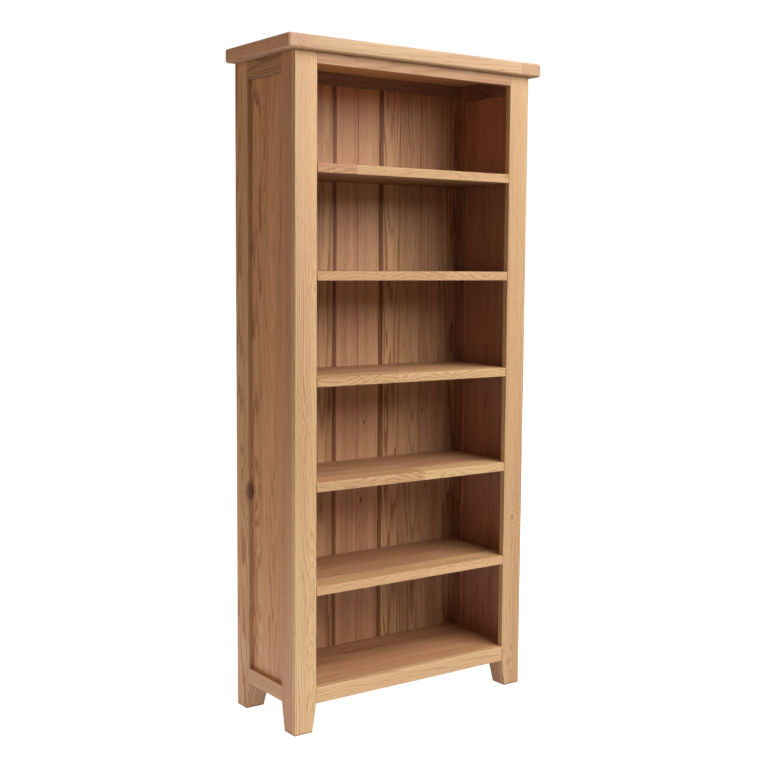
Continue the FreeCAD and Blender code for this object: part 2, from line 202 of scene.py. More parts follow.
@dataclass(frozen=True)
class Streaks:
    """Soft noise drawn out along the grain, from 0 to 1 and mostly near a half.

    cells is how many cells it has in a metre along, across and through the log. shift moves
    it, so that no two patterns line up, and detail adds octaves of finer noise.
    """

    cells: Triple
    shift: float
    detail: float = 1.0

    def lay(self, tree: Tree, place: Socket) -> Socket:
        """Lay the pattern on the wood.

        Args:
            tree: the material's nodes.
            place: the place in the log.

        Returns:
            The pattern's value.
        """
        spot = add_node(tree, VECTOR_MATH, {"operation": "MULTIPLY_ADD", 1: self.cells,
                                            2: (self.shift, self.shift, self.shift)}, {0: place})
        return add_node(tree, NOISE, {"Scale": 1.0, "Detail": self.detail},
                        {"Vector": spot.outputs[0]}).outputs[0]


@dataclass(frozen=True)
class OakFinish:
    """Planed and sanded European oak under a satin oil-wax.

    The eye sees warm straw-coloured wood with fine dark dashes where the open pores hold oil,
    growth rings as straight stripes or tall arches, and a soft low gloss.
    """

    slot: str
    pale: str
    deep: str
    rosy: str
    straw: str
    plum: str = "#FFEAF8"
    band: str = "#B29684"
    heart: str = "#5A2F1E"
    ring_depth: float = 0.85
    pore_depth: float = 0.75
    mottle_depth: float = 0.30
    gloss_roughness: float = 0.53

    OIL_IOR: ClassVar[float] = 1.48
    # Oak grows about 2.5 mm a year. Rings are drawn 5.5 mm wide, the least that shows from here,
    # and the open early wood is the first six tenths of each.
    RING_WIDTH: ClassVar[float] = 5.5 * MM
    EARLY_SHARE: ClassVar[float] = 0.62
    # Good and bad years come in runs of about 20 mm of wood, and shift a ring by up to 1.2 rings.
    YEARS: ClassVar[Streaks] = Streaks((0.4, 48.0, 48.0), 23.0)
    YEARS_SHIFT: ClassVar[float] = 2.4
    # The rings fade and sharpen in patches about 70 mm wide.
    CALM: ClassVar[Streaks] = Streaks((0.7, 14.0, 14.0), 31.0)
    CALMEST: ClassVar[float] = 0.30
    # The trunk wanders some 6 mm over a third of a metre.
    SWAY: ClassVar[Streaks] = Streaks((2.2, 11.0, 11.0), 11.0, 2.0)
    SWAY_DEPTH: ClassVar[float] = 16 * MM
    # Pores are 0.3 mm wide and to 10 mm long. They are drawn 2 mm by 30 mm, or they wouldn't show.
    # They show five times as strongly in the early wood.
    PORES: ClassVar[Streaks] = Streaks((26.0, 380.0, 380.0), 41.0)
    PORES_EARLY: ClassVar[float] = 0.90
    PORES_LATE: ClassVar[float] = 0.22
    # Slow colour drift runs the length of a board, in stripes about 30 mm wide.
    DRIFT: ClassVar[Streaks] = Streaks((0.8, 32.0, 32.0), 53.0, 3.5)
    # The hue swings between straw and rosy in stripes about 50 mm wide.
    HUE: ClassVar[Streaks] = Streaks((0.5, 20.0, 20.0), 67.0)
    HUE_SWING: ClassVar[float] = 1.4
    # The plum tint is painted shade, for the deep shade in a bay: it starts at this warmth, and is
    # complete one above it.
    PLUM_START: ClassVar[float] = 1.5
    # A heartwood band's edge wavers in waves about 25 mm wide.
    BAND_EDGE: ClassVar[Streaks] = Streaks((1.6, 40.0, 40.0), 71.0, 2.0)
    BAND_SWING: ClassVar[float] = 1.4
    # A knot's rim is ragged in steps of 6 mm, and the rings swing 15 mm round the knot.
    KNOT_RIM: ClassVar[Streaks] = Streaks((90.0, 180.0, 180.0), 3.0)
    KNOT_RAGGED: ClassVar[float] = 0.9
    KNOT_REACH: ClassVar[float] = 4.0
    KNOT_PULL: ClassVar[float] = 15 * MM
    # End grain drinks more oil.
    END_SOAK: ClassVar[float] = 0.12
    # The open pores are rougher, and lie 0.4 mm deep at most.
    PORE_ROUGHNESS: ClassVar[float] = 0.16
    EARLY_SUNK: ClassVar[float] = 0.25
    GRAIN_DEPTH: ClassVar[float] = 0.4 * MM
    GRAIN_STRENGTH: ClassVar[float] = 0.22

    def material(self) -> Material:
        """Build the oak's nodes.

        Returns:
            The finished material.
        """
        material, tree = new_material(f"{self.slot}_planed_oiled")
        place = add_node(tree, ATTRIBUTE, {"attribute_name": "log"}).outputs["Vector"]
        tone = add_node(tree, ATTRIBUTE, {"attribute_name": "tone"}).outputs["Vector"]
        split = add_node(tree, SEPARATE, links={0: tone})
        knot = self._knot(tree, place)
        early = self._rings(tree, place, knot)
        pores = self._pores(tree, place, early)
        colour = self._colour(tree, place, early, pores, split.outputs[1])
        colour = self._marks(tree, place, colour, knot)
        colour = self._shade(tree, colour, split.outputs[0], split.outputs[2])
        self._surface(tree, colour, early, pores)
        return material

    def _knot(self, tree: Tree, place: Socket) -> Socket:
        """Ragged distance from the nearest knot, in knot radii.

        Args:
            tree: the material's nodes.
            place: the place in the log.

        Returns:
            The distance.
        """
        spot = add_node(tree, ATTRIBUTE, {"attribute_name": "knot"}).outputs["Vector"]
        length = add_node(tree, VECTOR_MATH, {"operation": "LENGTH"}, {0: spot})
        rim = self.KNOT_RIM.lay(tree, place)
        return add_node(tree, MATH, {"operation": "MULTIPLY_ADD", 1: self.KNOT_RAGGED},
                        {0: rim, 2: length.outputs["Value"]}).outputs[0]

    def _rings(self, tree: Tree, place: Socket, knot: Socket) -> Socket:
        """How far a point lies in the open early wood of its ring.

        Args:
            tree: the material's nodes.
            place: the place in the log.
            knot: distance from the nearest knot, round which the rings bend.

        Returns:
            1 at the start of a ring, falling to 0 in the dense late wood.
        """
        cross = add_node(tree, VECTOR_MATH, {"operation": "MULTIPLY", 1: (0, 1, 1)}, {0: place})
        radius = add_node(tree, VECTOR_MATH, {"operation": "LENGTH"}, {0: cross.outputs[0]})
        sway = self.SWAY.lay(tree, place)
        swayed = add_node(tree, MATH, {"operation": "MULTIPLY_ADD", 1: self.SWAY_DEPTH},
                          {0: sway, 2: radius.outputs["Value"]})
        pull = add_node(tree, MAP_RANGE, {"interpolation_type": "SMOOTHSTEP",
                                          1: 0.3, 2: self.KNOT_REACH,
                                          3: self.KNOT_PULL, 4: 0.0}, {0: knot})
        pulled = add_node(tree, MATH, {"operation": "ADD"},
                          {0: swayed.outputs[0], 1: pull.outputs[0]})
        years = self.YEARS.lay(tree, place)
        count = add_node(tree, MATH, {"operation": "DIVIDE", 1: self.RING_WIDTH},
                         {0: pulled.outputs[0]})
        phase = add_node(tree, MATH, {"operation": "MULTIPLY_ADD", 1: self.YEARS_SHIFT},
                         {0: years, 2: count.outputs[0]})
        ring = add_node(tree, MATH, {"operation": "FRACT"}, {0: phase.outputs[0]})
        early = add_node(tree, MAP_RANGE, {"interpolation_type": "SMOOTHSTEP",
                                           1: 0.0, 2: self.EARLY_SHARE, 3: 1.0, 4: 0.0},
                         {0: ring.outputs[0]})
        calm = self.CALM.lay(tree, place)
        contrast = add_node(tree, MAP_RANGE, {1: 0.36, 2: 0.66, 3: self.CALMEST, 4: 1.0},
                            {0: calm})
        calmed = add_node(tree, MATH, {"operation": "MULTIPLY"},
                          {0: early.outputs[0], 1: contrast.outputs[0]})
        figure = add_node(tree, ATTRIBUTE, {"attribute_name": "figure"}).outputs["Fac"]
        return add_node(tree, MATH, {"operation": "MULTIPLY"},
                        {0: calmed.outputs[0], 1: figure}).outputs[0]

    def _pores(self, tree: Tree, place: Socket, early: Socket) -> Socket:
        """The open pores, which crowd in the early wood.

        Args:
            tree: the material's nodes.
            place: the place in the log.
            early: how far a point lies in the early wood.

        Returns:
            1 in a pore and 0 between pores.
        """
        grit = self.PORES.lay(tree, place)
        dash = add_node(tree, MAP_RANGE, {1: 0.54, 2: 0.70, 3: 0.0, 4: 1.0}, {0: grit})
        crowd = add_node(tree, MATH, {"operation": "MULTIPLY_ADD", 1: self.PORES_EARLY,
                                      2: self.PORES_LATE}, {0: early})
        return add_node(tree, MATH, {"operation": "MULTIPLY"},
                        {0: dash.outputs[0], 1: crowd.outputs[0]}).outputs[0]

    def _colour(self, tree: Tree, place: Socket, early: Socket, pores: Socket,
                warmth: Socket) -> Socket:
        """The wood's colour from its rings, pores and slow drift.

        Args:
            tree: the material's nodes.
            place: the place in the log.
            early: how far a point lies in the early wood.
            pores: where the pores are.
            warmth: the board's own hue, 0 for straw, 1 for rosy and 2.5 for plum, the painted
                colour of deep shade.

        Returns:
            The colour.
        """
        drift = self.DRIFT.lay(tree, place)
        mottle = add_node(tree, MAP_RANGE, {1: 0.32, 2: 0.68, 3: 0.0, 4: self.mottle_depth},
                          {0: drift})
        ringed = add_node(tree, MATH, {"operation": "MULTIPLY_ADD", 1: self.ring_depth},
                          {0: early, 2: mottle.outputs[0]})
        depth = add_node(tree, MATH, {"operation": "MULTIPLY_ADD", 1: self.pore_depth,
                                      "use_clamp": True}, {0: pores, 2: ringed.outputs[0]})
        wood = add_node(tree, MIX, {"data_type": "RGBA", 6: linear(self.pale),
                                    7: linear(self.deep)}, {0: depth.outputs[0]})
        hue = self.HUE.lay(tree, place)
        swing = add_node(tree, MATH, {"operation": "MULTIPLY_ADD", 1: self.HUE_SWING,
                                      2: -self.HUE_SWING / 2}, {0: hue})
        leaning = add_node(tree, MATH, {"operation": "ADD"}, {0: swing.outputs[0], 1: warmth})
        cast = add_node(tree, MIX, {"data_type": "RGBA", 6: linear(self.straw),
                                    7: linear(self.rosy)}, {0: leaning.outputs[0]})
        # Painted shade: warmth past the start is tinted plum.
        beyond = add_node(tree, MATH, {"operation": "SUBTRACT", 1: self.PLUM_START,
                                       "use_clamp": True}, {0: warmth})
        shade_plum_cast = add_node(tree, MIX, {"data_type": "RGBA", 7: linear(self.plum)},
                        {0: beyond.outputs[0], 6: cast.outputs[2]})
        return add_node(tree, MIX, {"data_type": "RGBA", "blend_type": "MULTIPLY", 0: 1.0},
                        {6: wood.outputs[2], 7: shade_plum_cast.outputs[2]}).outputs[2]

    def _marks(self, tree: Tree, place: Socket, colour: Socket, knot: Socket) -> Socket:
        """Lay the heartwood band and the knot over the wood.

        Args:
            tree: the material's nodes.
            place: the place in the log.
            colour: the wood's colour.
            knot: distance from the nearest knot.

        Returns:
            The colour with its marks.
        """
        spot = add_node(tree, ATTRIBUTE, {"attribute_name": "heart"}).outputs["Vector"]
        split = add_node(tree, SEPARATE, links={0: spot})
        edge = self.BAND_EDGE.lay(tree, place)
        moved = add_node(tree, MATH, {"operation": "MULTIPLY_ADD", 1: self.BAND_SWING,
                                      2: -self.BAND_SWING / 2}, {0: edge})
        offset = add_node(tree, MATH, {"operation": "ADD"},
                          {0: moved.outputs[0], 1: split.outputs[0]})
        distance = add_node(tree, MATH, {"operation": "ABSOLUTE"}, {0: offset.outputs[0]})
        band = add_node(tree, MAP_RANGE, {"interpolation_type": "SMOOTHSTEP",
                                          1: 0.75, 2: 1.10, 3: 1.0, 4: 0.0},
                        {0: distance.outputs[0]})
        strength = add_node(tree, MATH, {"operation": "MULTIPLY"},
                            {0: band.outputs[0], 1: split.outputs[1]})
        banded = add_node(tree, MIX, {"data_type": "RGBA", "blend_type": "MULTIPLY",
                                      7: linear(self.band)}, {0: strength.outputs[0], 6: colour})
        core = add_node(tree, MAP_RANGE, {"interpolation_type": "SMOOTHSTEP",
                                          1: 0.75, 2: 1.35, 3: 0.92, 4: 0.0}, {0: knot})
        dark = add_node(tree, MATH, {"operation": "MULTIPLY"},
                        {0: core.outputs[0], 1: split.outputs[2]})
        return add_node(tree, MIX, {"data_type": "RGBA", 7: linear(self.heart)},
                        {0: dark.outputs[0], 6: banded.outputs[2]}).outputs[2]

    def _shade(self, tree: Tree, colour: Socket, shade: Socket, end: Socket) -> Socket:
        """Give the board its own brightness and its painted shade, and darken its end grain and a
        foot's rim.

        Args:
            tree: the material's nodes.
            colour: the wood's colour.
            shade: the board's own brightness, with painted shade on faces in a bay.
            end: 1 on end grain and 0 on long grain, and more on a foot's painted contact shade.

        Returns:
            The shaded colour.
        """
        soaked = add_node(tree, MATH, {"operation": "MULTIPLY_ADD", 1: -self.END_SOAK, 2: 1.0},
                          {0: end})
        level = add_node(tree, MATH, {"operation": "MULTIPLY"},
                         {0: soaked.outputs[0], 1: shade})
        return add_node(tree, VECTOR_MATH, {"operation": "SCALE"},
                        {0: colour, 3: level.outputs[0]}).outputs[0]

    def _surface(self, tree: Tree, colour: Socket, early: Socket, pores: Socket) -> None:
        """Make the oiled surface: rougher and a little sunken in the pores.

        Args:
            tree: the material's nodes.
            colour: the wood's colour.
            early: how far a point lies in the early wood.
            pores: where the pores are.
        """
        rough = add_node(tree, MATH, {"operation": "MULTIPLY_ADD", 1: self.PORE_ROUGHNESS,
                                      2: self.gloss_roughness}, {0: pores})
        sunk = add_node(tree, MATH, {"operation": "MULTIPLY_ADD", 1: self.EARLY_SUNK},
                        {0: early, 2: pores})
        bump = add_node(tree, BUMP, {"invert": True, "Strength": self.GRAIN_STRENGTH,
                                     "Distance": self.GRAIN_DEPTH}, {"Height": sunk.outputs[0]})
        shader = add_node(tree, PRINCIPLED, {"IOR": self.OIL_IOR},
                          {"Base Color": colour, "Roughness": rough.outputs[0],
                           "Normal": bump.outputs[0]})
        add_node(tree, OUTPUT, links={"Surface": shader.outputs[0]})


@dataclass(frozen=True)
class SteelFinish:
    """Plated steel, turned or cold-headed: a grey satin glint with faint turning rings.

    Nickel on the pins, and zinc on the screws, which is yellower and duller.
    """

    slot: str
    plating: str
    bright: str = "#C6C4BE"
    dull: str = "#8F8D88"
    roughness: float = 0.34

    # Turning marks are 0.1 mm apart on the real pin, and are drawn 1.5 mm apart. A wave of
    # scale 1 repeats every 314 mm.
    TURNING_SCALE: ClassVar[float] = 208.333
    # The plating clouds in patches of about 2 mm, and its gloss varies with them.
    CLOUD_SCALE: ClassVar[float] = 420.0
    CLOUD_GLOSS: ClassVar[tuple[float, float]] = (-0.06, 0.14)
    MARK_DEPTH: ClassVar[float] = 0.1 * MM

    def material(self) -> Material:
        """Build the steel's nodes.

        Returns:
            The finished material.
        """
        material, tree = new_material(f"{self.slot}_{self.plating}_plated")
        place = add_node(tree, COORDINATES).outputs["Object"]
        cloud = add_node(tree, NOISE, {"Scale": self.CLOUD_SCALE, "Detail": 3.0},
                         {"Vector": place})
        colour = add_node(tree, MIX, {"data_type": "RGBA", 6: linear(self.bright),
                                      7: linear(self.dull)}, {0: cloud.outputs[0]})
        marks = add_node(tree, WAVE, {"Scale": self.TURNING_SCALE, "Distortion": 1.5},
                         {"Vector": place})
        bump = add_node(tree, BUMP, {"Strength": 0.15, "Distance": self.MARK_DEPTH},
                        {"Height": marks.outputs[1]})
        glossy, matt = (self.roughness + change for change in self.CLOUD_GLOSS)
        rough = add_node(tree, MAP_RANGE, {3: glossy, 4: matt}, {0: cloud.outputs[0]})
        shader = add_node(tree, PRINCIPLED, {"Metallic": 1.0},
                          {"Base Color": colour.outputs[2], "Roughness": rough.outputs[0],
                           "Normal": bump.outputs[0]})
        add_node(tree, OUTPUT, links={"Surface": shader.outputs[0]})
        return material


@dataclass(frozen=True)
class BeechFinish:
    """Turned beech dowel, unfinished: pale, even, fine short flecks."""

    slot: str
    pale: str = "#E2BE94"
    fleck: str = "#B98A5E"
    roughness: float = 0.62

    # Beech rays are about 0.5 mm wide, and are drawn in cells of 1.1 mm.
    RAY_SCALE: ClassVar[float] = 900.0
    RAY_DEPTH: ClassVar[float] = 0.1 * MM
    WOOD_IOR: ClassVar[float] = 1.5

    def material(self) -> Material:
        """Build the beech's nodes.

        Returns:
            The finished material.
        """
        material, tree = new_material(f"{self.slot}_turned")
        place = add_node(tree, COORDINATES).outputs["Object"]
        rays = add_node(tree, NOISE, {"Scale": self.RAY_SCALE, "Detail": 2.0}, {"Vector": place})
        mask = add_node(tree, MAP_RANGE, {1: 0.5, 2: 0.7}, {0: rays.outputs[0]})
        colour = add_node(tree, MIX, {"data_type": "RGBA", 6: linear(self.pale),
                                      7: linear(self.fleck)}, {0: mask.outputs[0]})
        bump = add_node(tree, BUMP, {"Strength": 0.2, "Distance": self.RAY_DEPTH},
                        {"Height": mask.outputs[0]})
        shader = add_node(tree, PRINCIPLED, {"IOR": self.WOOD_IOR, "Roughness": self.roughness},
                          {"Base Color": colour.outputs[2], "Normal": bump.outputs[0]})
        add_node(tree, OUTPUT, links={"Surface": shader.outputs[0]})
        return material


@dataclass(frozen=True)
class LightPool:
    """A round pool of light on the floor: even to its inner radius, and gone at its outer."""

    centre: Triple
    light: float
    inner: float
    outer: float


@dataclass(frozen=True)
class FloorFinish:
    """Matt white painted studio floor: even, with no sheen.

    The camera sees it lit to plain white. It throws back less light than that, so that the
    undersides stay dark, apart from two unseen pools of light, at the left and in front.
    """

    paint: str = "#FFFFFF"
    pool_colour: str = "#EEF4FF"
    thrown: str = "#808080"
    shadow_grey: float = 0.4
    glow: float = 0.97
    pools: tuple[LightPool, ...] = (LightPool((-1.25, 0.0, 0.0), 1.50, 0.2, 1.5),
                                    LightPool((0.25, -0.75, 0.0), 0.95, 0.2, 1.1))

    # A paint roller leaves a stipple of about 6 mm.
    STIPPLE_SCALE: ClassVar[float] = 160.0
    STIPPLE_DEPTH: ClassVar[float] = 0.2 * MM

    def material(self) -> Material:
        """Build the floor's nodes.

        Returns:
            The finished material.
        """
        material, tree = new_material("studio_floor_matt_paint")
        place = add_node(tree, COORDINATES).outputs["Object"]
        stipple = add_node(tree, NOISE, {"Scale": self.STIPPLE_SCALE, "Detail": 2.0},
                           {"Vector": place})
        bump = add_node(tree, BUMP, {"Strength": 0.05, "Distance": self.STIPPLE_DEPTH},
                        {"Height": stipple.outputs[0]})
        thrown = add_node(tree, DIFFUSE, {"Color": linear(self.thrown)},
                          {"Normal": bump.outputs[0]})
        for pool in self.pools:
            reach = add_node(tree, VECTOR_MATH, {"operation": "DISTANCE", 1: pool.centre},
                             {0: place})
            fade = add_node(tree, MAP_RANGE, {"interpolation_type": "SMOOTHSTEP", 1: pool.inner,
                                              2: pool.outer, 3: pool.light, 4: 0.0},
                            {0: reach.outputs["Value"]})
            lit = add_node(tree, EMISSION, {"Color": linear(self.pool_colour)},
                           {"Strength": fade.outputs[0]})
            thrown = add_node(tree, ADD_SHADER,
                              links={0: thrown.outputs[0], 1: lit.outputs[0]})
        grey = self.shadow_grey
        faint = add_node(tree, DIFFUSE, {"Color": (grey, grey, grey, 1.0)},
                         {"Normal": bump.outputs[0]})
        light = add_node(tree, EMISSION, {"Color": linear(self.paint), "Strength": self.glow})
        bright = add_node(tree, ADD_SHADER, links={0: faint.outputs[0], 1: light.outputs[0]})
        ray = add_node(tree, LIGHT_PATH)
        both = add_node(tree, MIX_SHADER,
                        links={0: ray.outputs["Is Camera Ray"], 1: thrown.outputs[0],
                               2: bright.outputs[0]})
        add_node(tree, OUTPUT, links={"Surface": both.outputs[0]})
        return material


# All the oak is planed, sanded and oiled alike. The top is the palest, the frame a little
# warmer, the panels and the back boards more mottled, and the shelves duller from more sanding.
TOP_OAK = OakFinish("oak_top", "#E6C6A0", "#B98A66", "#FFF0EA", "#FFFCE6")
FRAME_OAK = OakFinish("oak_frame", "#E3C29B", "#B28460", "#FFE6D6", "#FFFCE6")
PANEL_OAK = OakFinish("oak_panel", "#DFB891", "#A97A56", "#FFE4D6", "#FFFAE2", mottle_depth=0.4)
BACK_OAK = OakFinish("oak_back", "#DFBC96", "#9E6E4D", "#FFEAE2", "#FFF8E0", mottle_depth=0.45)
SHELF_OAK = OakFinish("oak_shelf", "#E1BF97", "#B28260", "#FFE2D4", "#FFFBE2",
                      gloss_roughness=0.60)
PIN_STEEL = SteelFinish("steel_pin", "nickel")
SCREW_STEEL = SteelFinish("steel_screw", "zinc", bright="#BDB7A6", roughness=0.40)
DOWEL_BEECH = BeechFinish("beech_dowel")


class FinishRack:
    """Keeps one Blender material for each finish."""

    def __init__(self) -> None:
        """Start with an empty rack."""
        self._made: dict[object, Material] = {}

    def take(self, finish: OakFinish | SteelFinish | BeechFinish) -> Material:
        """Hand out a finish's material, built the first time it is asked for.

        Args:
            finish: the finish.

        Returns:
            Its material.
        """
        if finish not in self._made:
            self._made[finish] = finish.material()
        return self._made[finish]


RACK = FinishRack()


# ---------------------------------------------------------------------------- the wood itself


@dataclass(frozen=True)
class Timber:
    """The wood of one board or stave.

    shade is its brightness, and warmth its hue: 0 for straw, 1 for rosy and 2.5 for plum, the
    painted colour of deep shade. lean is how far the pith runs off the grain in metres per metre,
    which sets how long its arches are. figure is how strongly its rings show.
    """

    cut: Cut = Cut.FLAT
    shade: float = 1.0
    warmth: float = 0.5
    lean: float = 0.012
    seed: int = 0
    figure: float = 1.0


@dataclass(frozen=True)
class Knot:
    """A knot: its place along and across the board, and its half length and half width.

    dark is 1 for a knot that shows, and 0 for one sawn away, round which the grain still bends.
    """

    along: float
    across: float
    half_length: float = 9 * MM
    half_width: float = 4 * MM
    dark: float = 1.0


@dataclass(frozen=True)
class HeartBand:
    """A dark heartwood band between two places across the board."""

    start: float
    end: float
    strength: float = 1.0


@dataclass(frozen=True)
class PaintedShade:
    """Painted shade on a board's face: where that face looks, its brightness, and what it adds to
    the warmth.
    """

    looks: Triple
    level: float
    warms: float = 0.0


@dataclass(frozen=True)
class Lay:
    """How staves are glued up: the seams across, and the butt joints along each row."""

    seams: tuple[float, ...] = ()
    joints: tuple[tuple[float, ...], ...] = ()


def everything(blank: Blank) -> list:
    """All of a blank's corners, edges and faces."""
    return list(blank.verts) + list(blank.edges) + list(blank.faces)


@dataclass(frozen=True)
class Rounding:
    """Round the sharp edges that a test picks."""

    radius: float
    segments: int
    picks: Callable[[Edge], bool]

    SHARP: ClassVar[float] = math.radians(25)

    def work(self, blank: Blank) -> None:
        """Round the edges of a blank.

        Args:
            blank: the board so far.
        """
        sharp = [edge for edge in blank.edges
                 if edge.calc_face_angle(0.0) > self.SHARP and self.picks(edge)]
        bmesh.ops.bevel(blank, geom=sharp, offset=self.radius, segments=self.segments,
                        profile=0.5, affect="EDGES", clamp_overlap=True)


@dataclass(frozen=True)
class SawCut:
    """Cut away what lies beyond a plane, and close the cut face."""

    point: Triple
    away: Triple

    def work(self, blank: Blank) -> None:
        """Cut a blank.

        Args:
            blank: the board so far.
        """
        done = bmesh.ops.bisect_plane(blank, geom=everything(blank), plane_co=self.point,
                                      plane_no=self.away, clear_outer=True, dist=CUT_SNAP)
        rim = [item for item in done["geom_cut"] if isinstance(item, Edge)]
        bmesh.ops.contextual_create(blank, geom=rim)
        bmesh.ops.recalc_face_normals(blank, faces=list(blank.faces))


@dataclass(frozen=True)
class Bore:
    """A round hole from a point along a vector."""

    start: Triple
    run: Triple
    radius: float

    SIDES: ClassVar[int] = 20


@dataclass(frozen=True)
class Housing:
    """A square-cut recess between two corners."""

    low: Triple
    high: Triple


def along(axis: int) -> Callable[[Edge], bool]:
    """A test for edges that run within about 25 degrees of an axis.

    Args:
        axis: 0, 1 or 2.

    Returns:
        The test.
    """
    nearly = 0.9

    def test(edge: Edge) -> bool:
        """Whether an edge runs along the axis."""
        run = edge.verts[1].co - edge.verts[0].co
        return run.length > 0 and abs(run[axis]) / run.length > nearly
    return test


def any_edge(edge: Edge) -> bool:
    """A test that every edge passes."""
    return edge.is_valid


def prism(outline: list[tuple[float, float]], axis: int, start: float, end: float) -> Blank:
    """Sweep a flat outline along an axis.

    Args:
        outline: corners in the two axes that follow the swept one, X Y Z X Y.
        axis: the swept axis.
        start: where the sweep starts.
        end: where it ends.

    Returns:
        The closed blank.
    """
    blank = bmesh.new()
    rings = []
    for level in (start, end):
        ring = []
        for first, second in outline:
            spot = [0.0, 0.0, 0.0]
            spot[axis] = level
            spot[(axis + 1) % 3] = first
            spot[(axis + 2) % 3] = second
            ring.append(blank.verts.new(spot))
        rings.append(ring)
    blank.faces.new(rings[0][::-1])
    blank.faces.new(rings[1])
    for index in range(len(outline)):
        after = (index + 1) % len(outline)
        blank.faces.new((rings[0][index], rings[0][after], rings[1][after], rings[1][index]))
    bmesh.ops.recalc_face_normals(blank, faces=list(blank.faces))
    return blank


def rectangle(low: Vector, high: Vector, axis: int) -> list[tuple[float, float]]:
    """The outline of a box seen along an axis.

    Args:
        low: lowest corner.
        high: highest corner.
        axis: the axis it is seen along.

    Returns:
        Four corners.
    """
    first = (axis + 1) % 3
    second = (axis + 2) % 3
    return [(low[first], low[second]), (high[first], low[second]),
            (high[first], high[second]), (low[first], high[second])]


def bored(mesh: bpy.types.Mesh, bores: list[Bore], housings: list[Housing]) -> bpy.types.Mesh:
    """Drill holes and cut recesses in a finished blank.

    Args:
        mesh: the board.
        bores: the holes.
        housings: the recesses.

    Returns:
        A new mesh with the holes and recesses in it.
    """
    bits = bmesh.new()
    for housing in housings:
        low = Vector(housing.low)
        high = Vector(housing.high)
        place = Matrix.Translation((low + high) / 2) @ Matrix.Diagonal((*(high - low), 1))
        bmesh.ops.create_cube(bits, size=1, matrix=place)
    for bore in bores:
        run = Vector(bore.run)
        turn = run.to_track_quat("Z", "Y").to_matrix().to_4x4()
        place = Matrix.Translation(Vector(bore.start) + run / 2) @ turn
        bmesh.ops.create_cone(bits, cap_ends=True, segments=bore.SIDES, radius1=bore.radius,
                              radius2=bore.radius, depth=run.length, matrix=place)
    bit_mesh = bpy.data.meshes.new("drill_bits")
    bits.to_mesh(bit_mesh)
    bits.free()
    blank = placed("drill_blank", mesh)
    tool = placed("drill_tool", bit_mesh)
    drill = blank.modifiers.new("drill", "BOOLEAN")
    drill.operation = "DIFFERENCE"
    drill.object = tool
    graph = bpy.context.evaluated_depsgraph_get()
    result = bpy.data.meshes.new_from_object(blank.evaluated_get(graph))
    for item in (blank, tool):
        bpy.data.objects.remove(item)
    return result


def glue_lines(low: float, high: float, stave_width: float) -> tuple[float, ...]:
    """Part a width into even staves.

    Args:
        low: where it starts.
        high: where it ends.
        stave_width: about how wide a stave is.

    Returns:
        The places of the seams between them.
    """
    rows = round((high - low) / stave_width)
    return tuple(low + (high - low) * row / rows for row in range(1, rows))


def read_all(items: bpy.types.bpy_prop_collection, name: str, width: int = 1,
             kind: type = float) -> np.ndarray:
    """Read one property of many items at once.

    Args:
        items: a mesh's vertices, loops or polygons.
        name: the property.
        width: how many numbers it has.
        kind: the numbers' type.

    Returns:
        One row for each item, or a flat list where the width is 1.
    """
    values = np.empty(len(items) * width, kind)
    items.foreach_get(name, values)
    return values.reshape(-1, width) if width > 1 else values


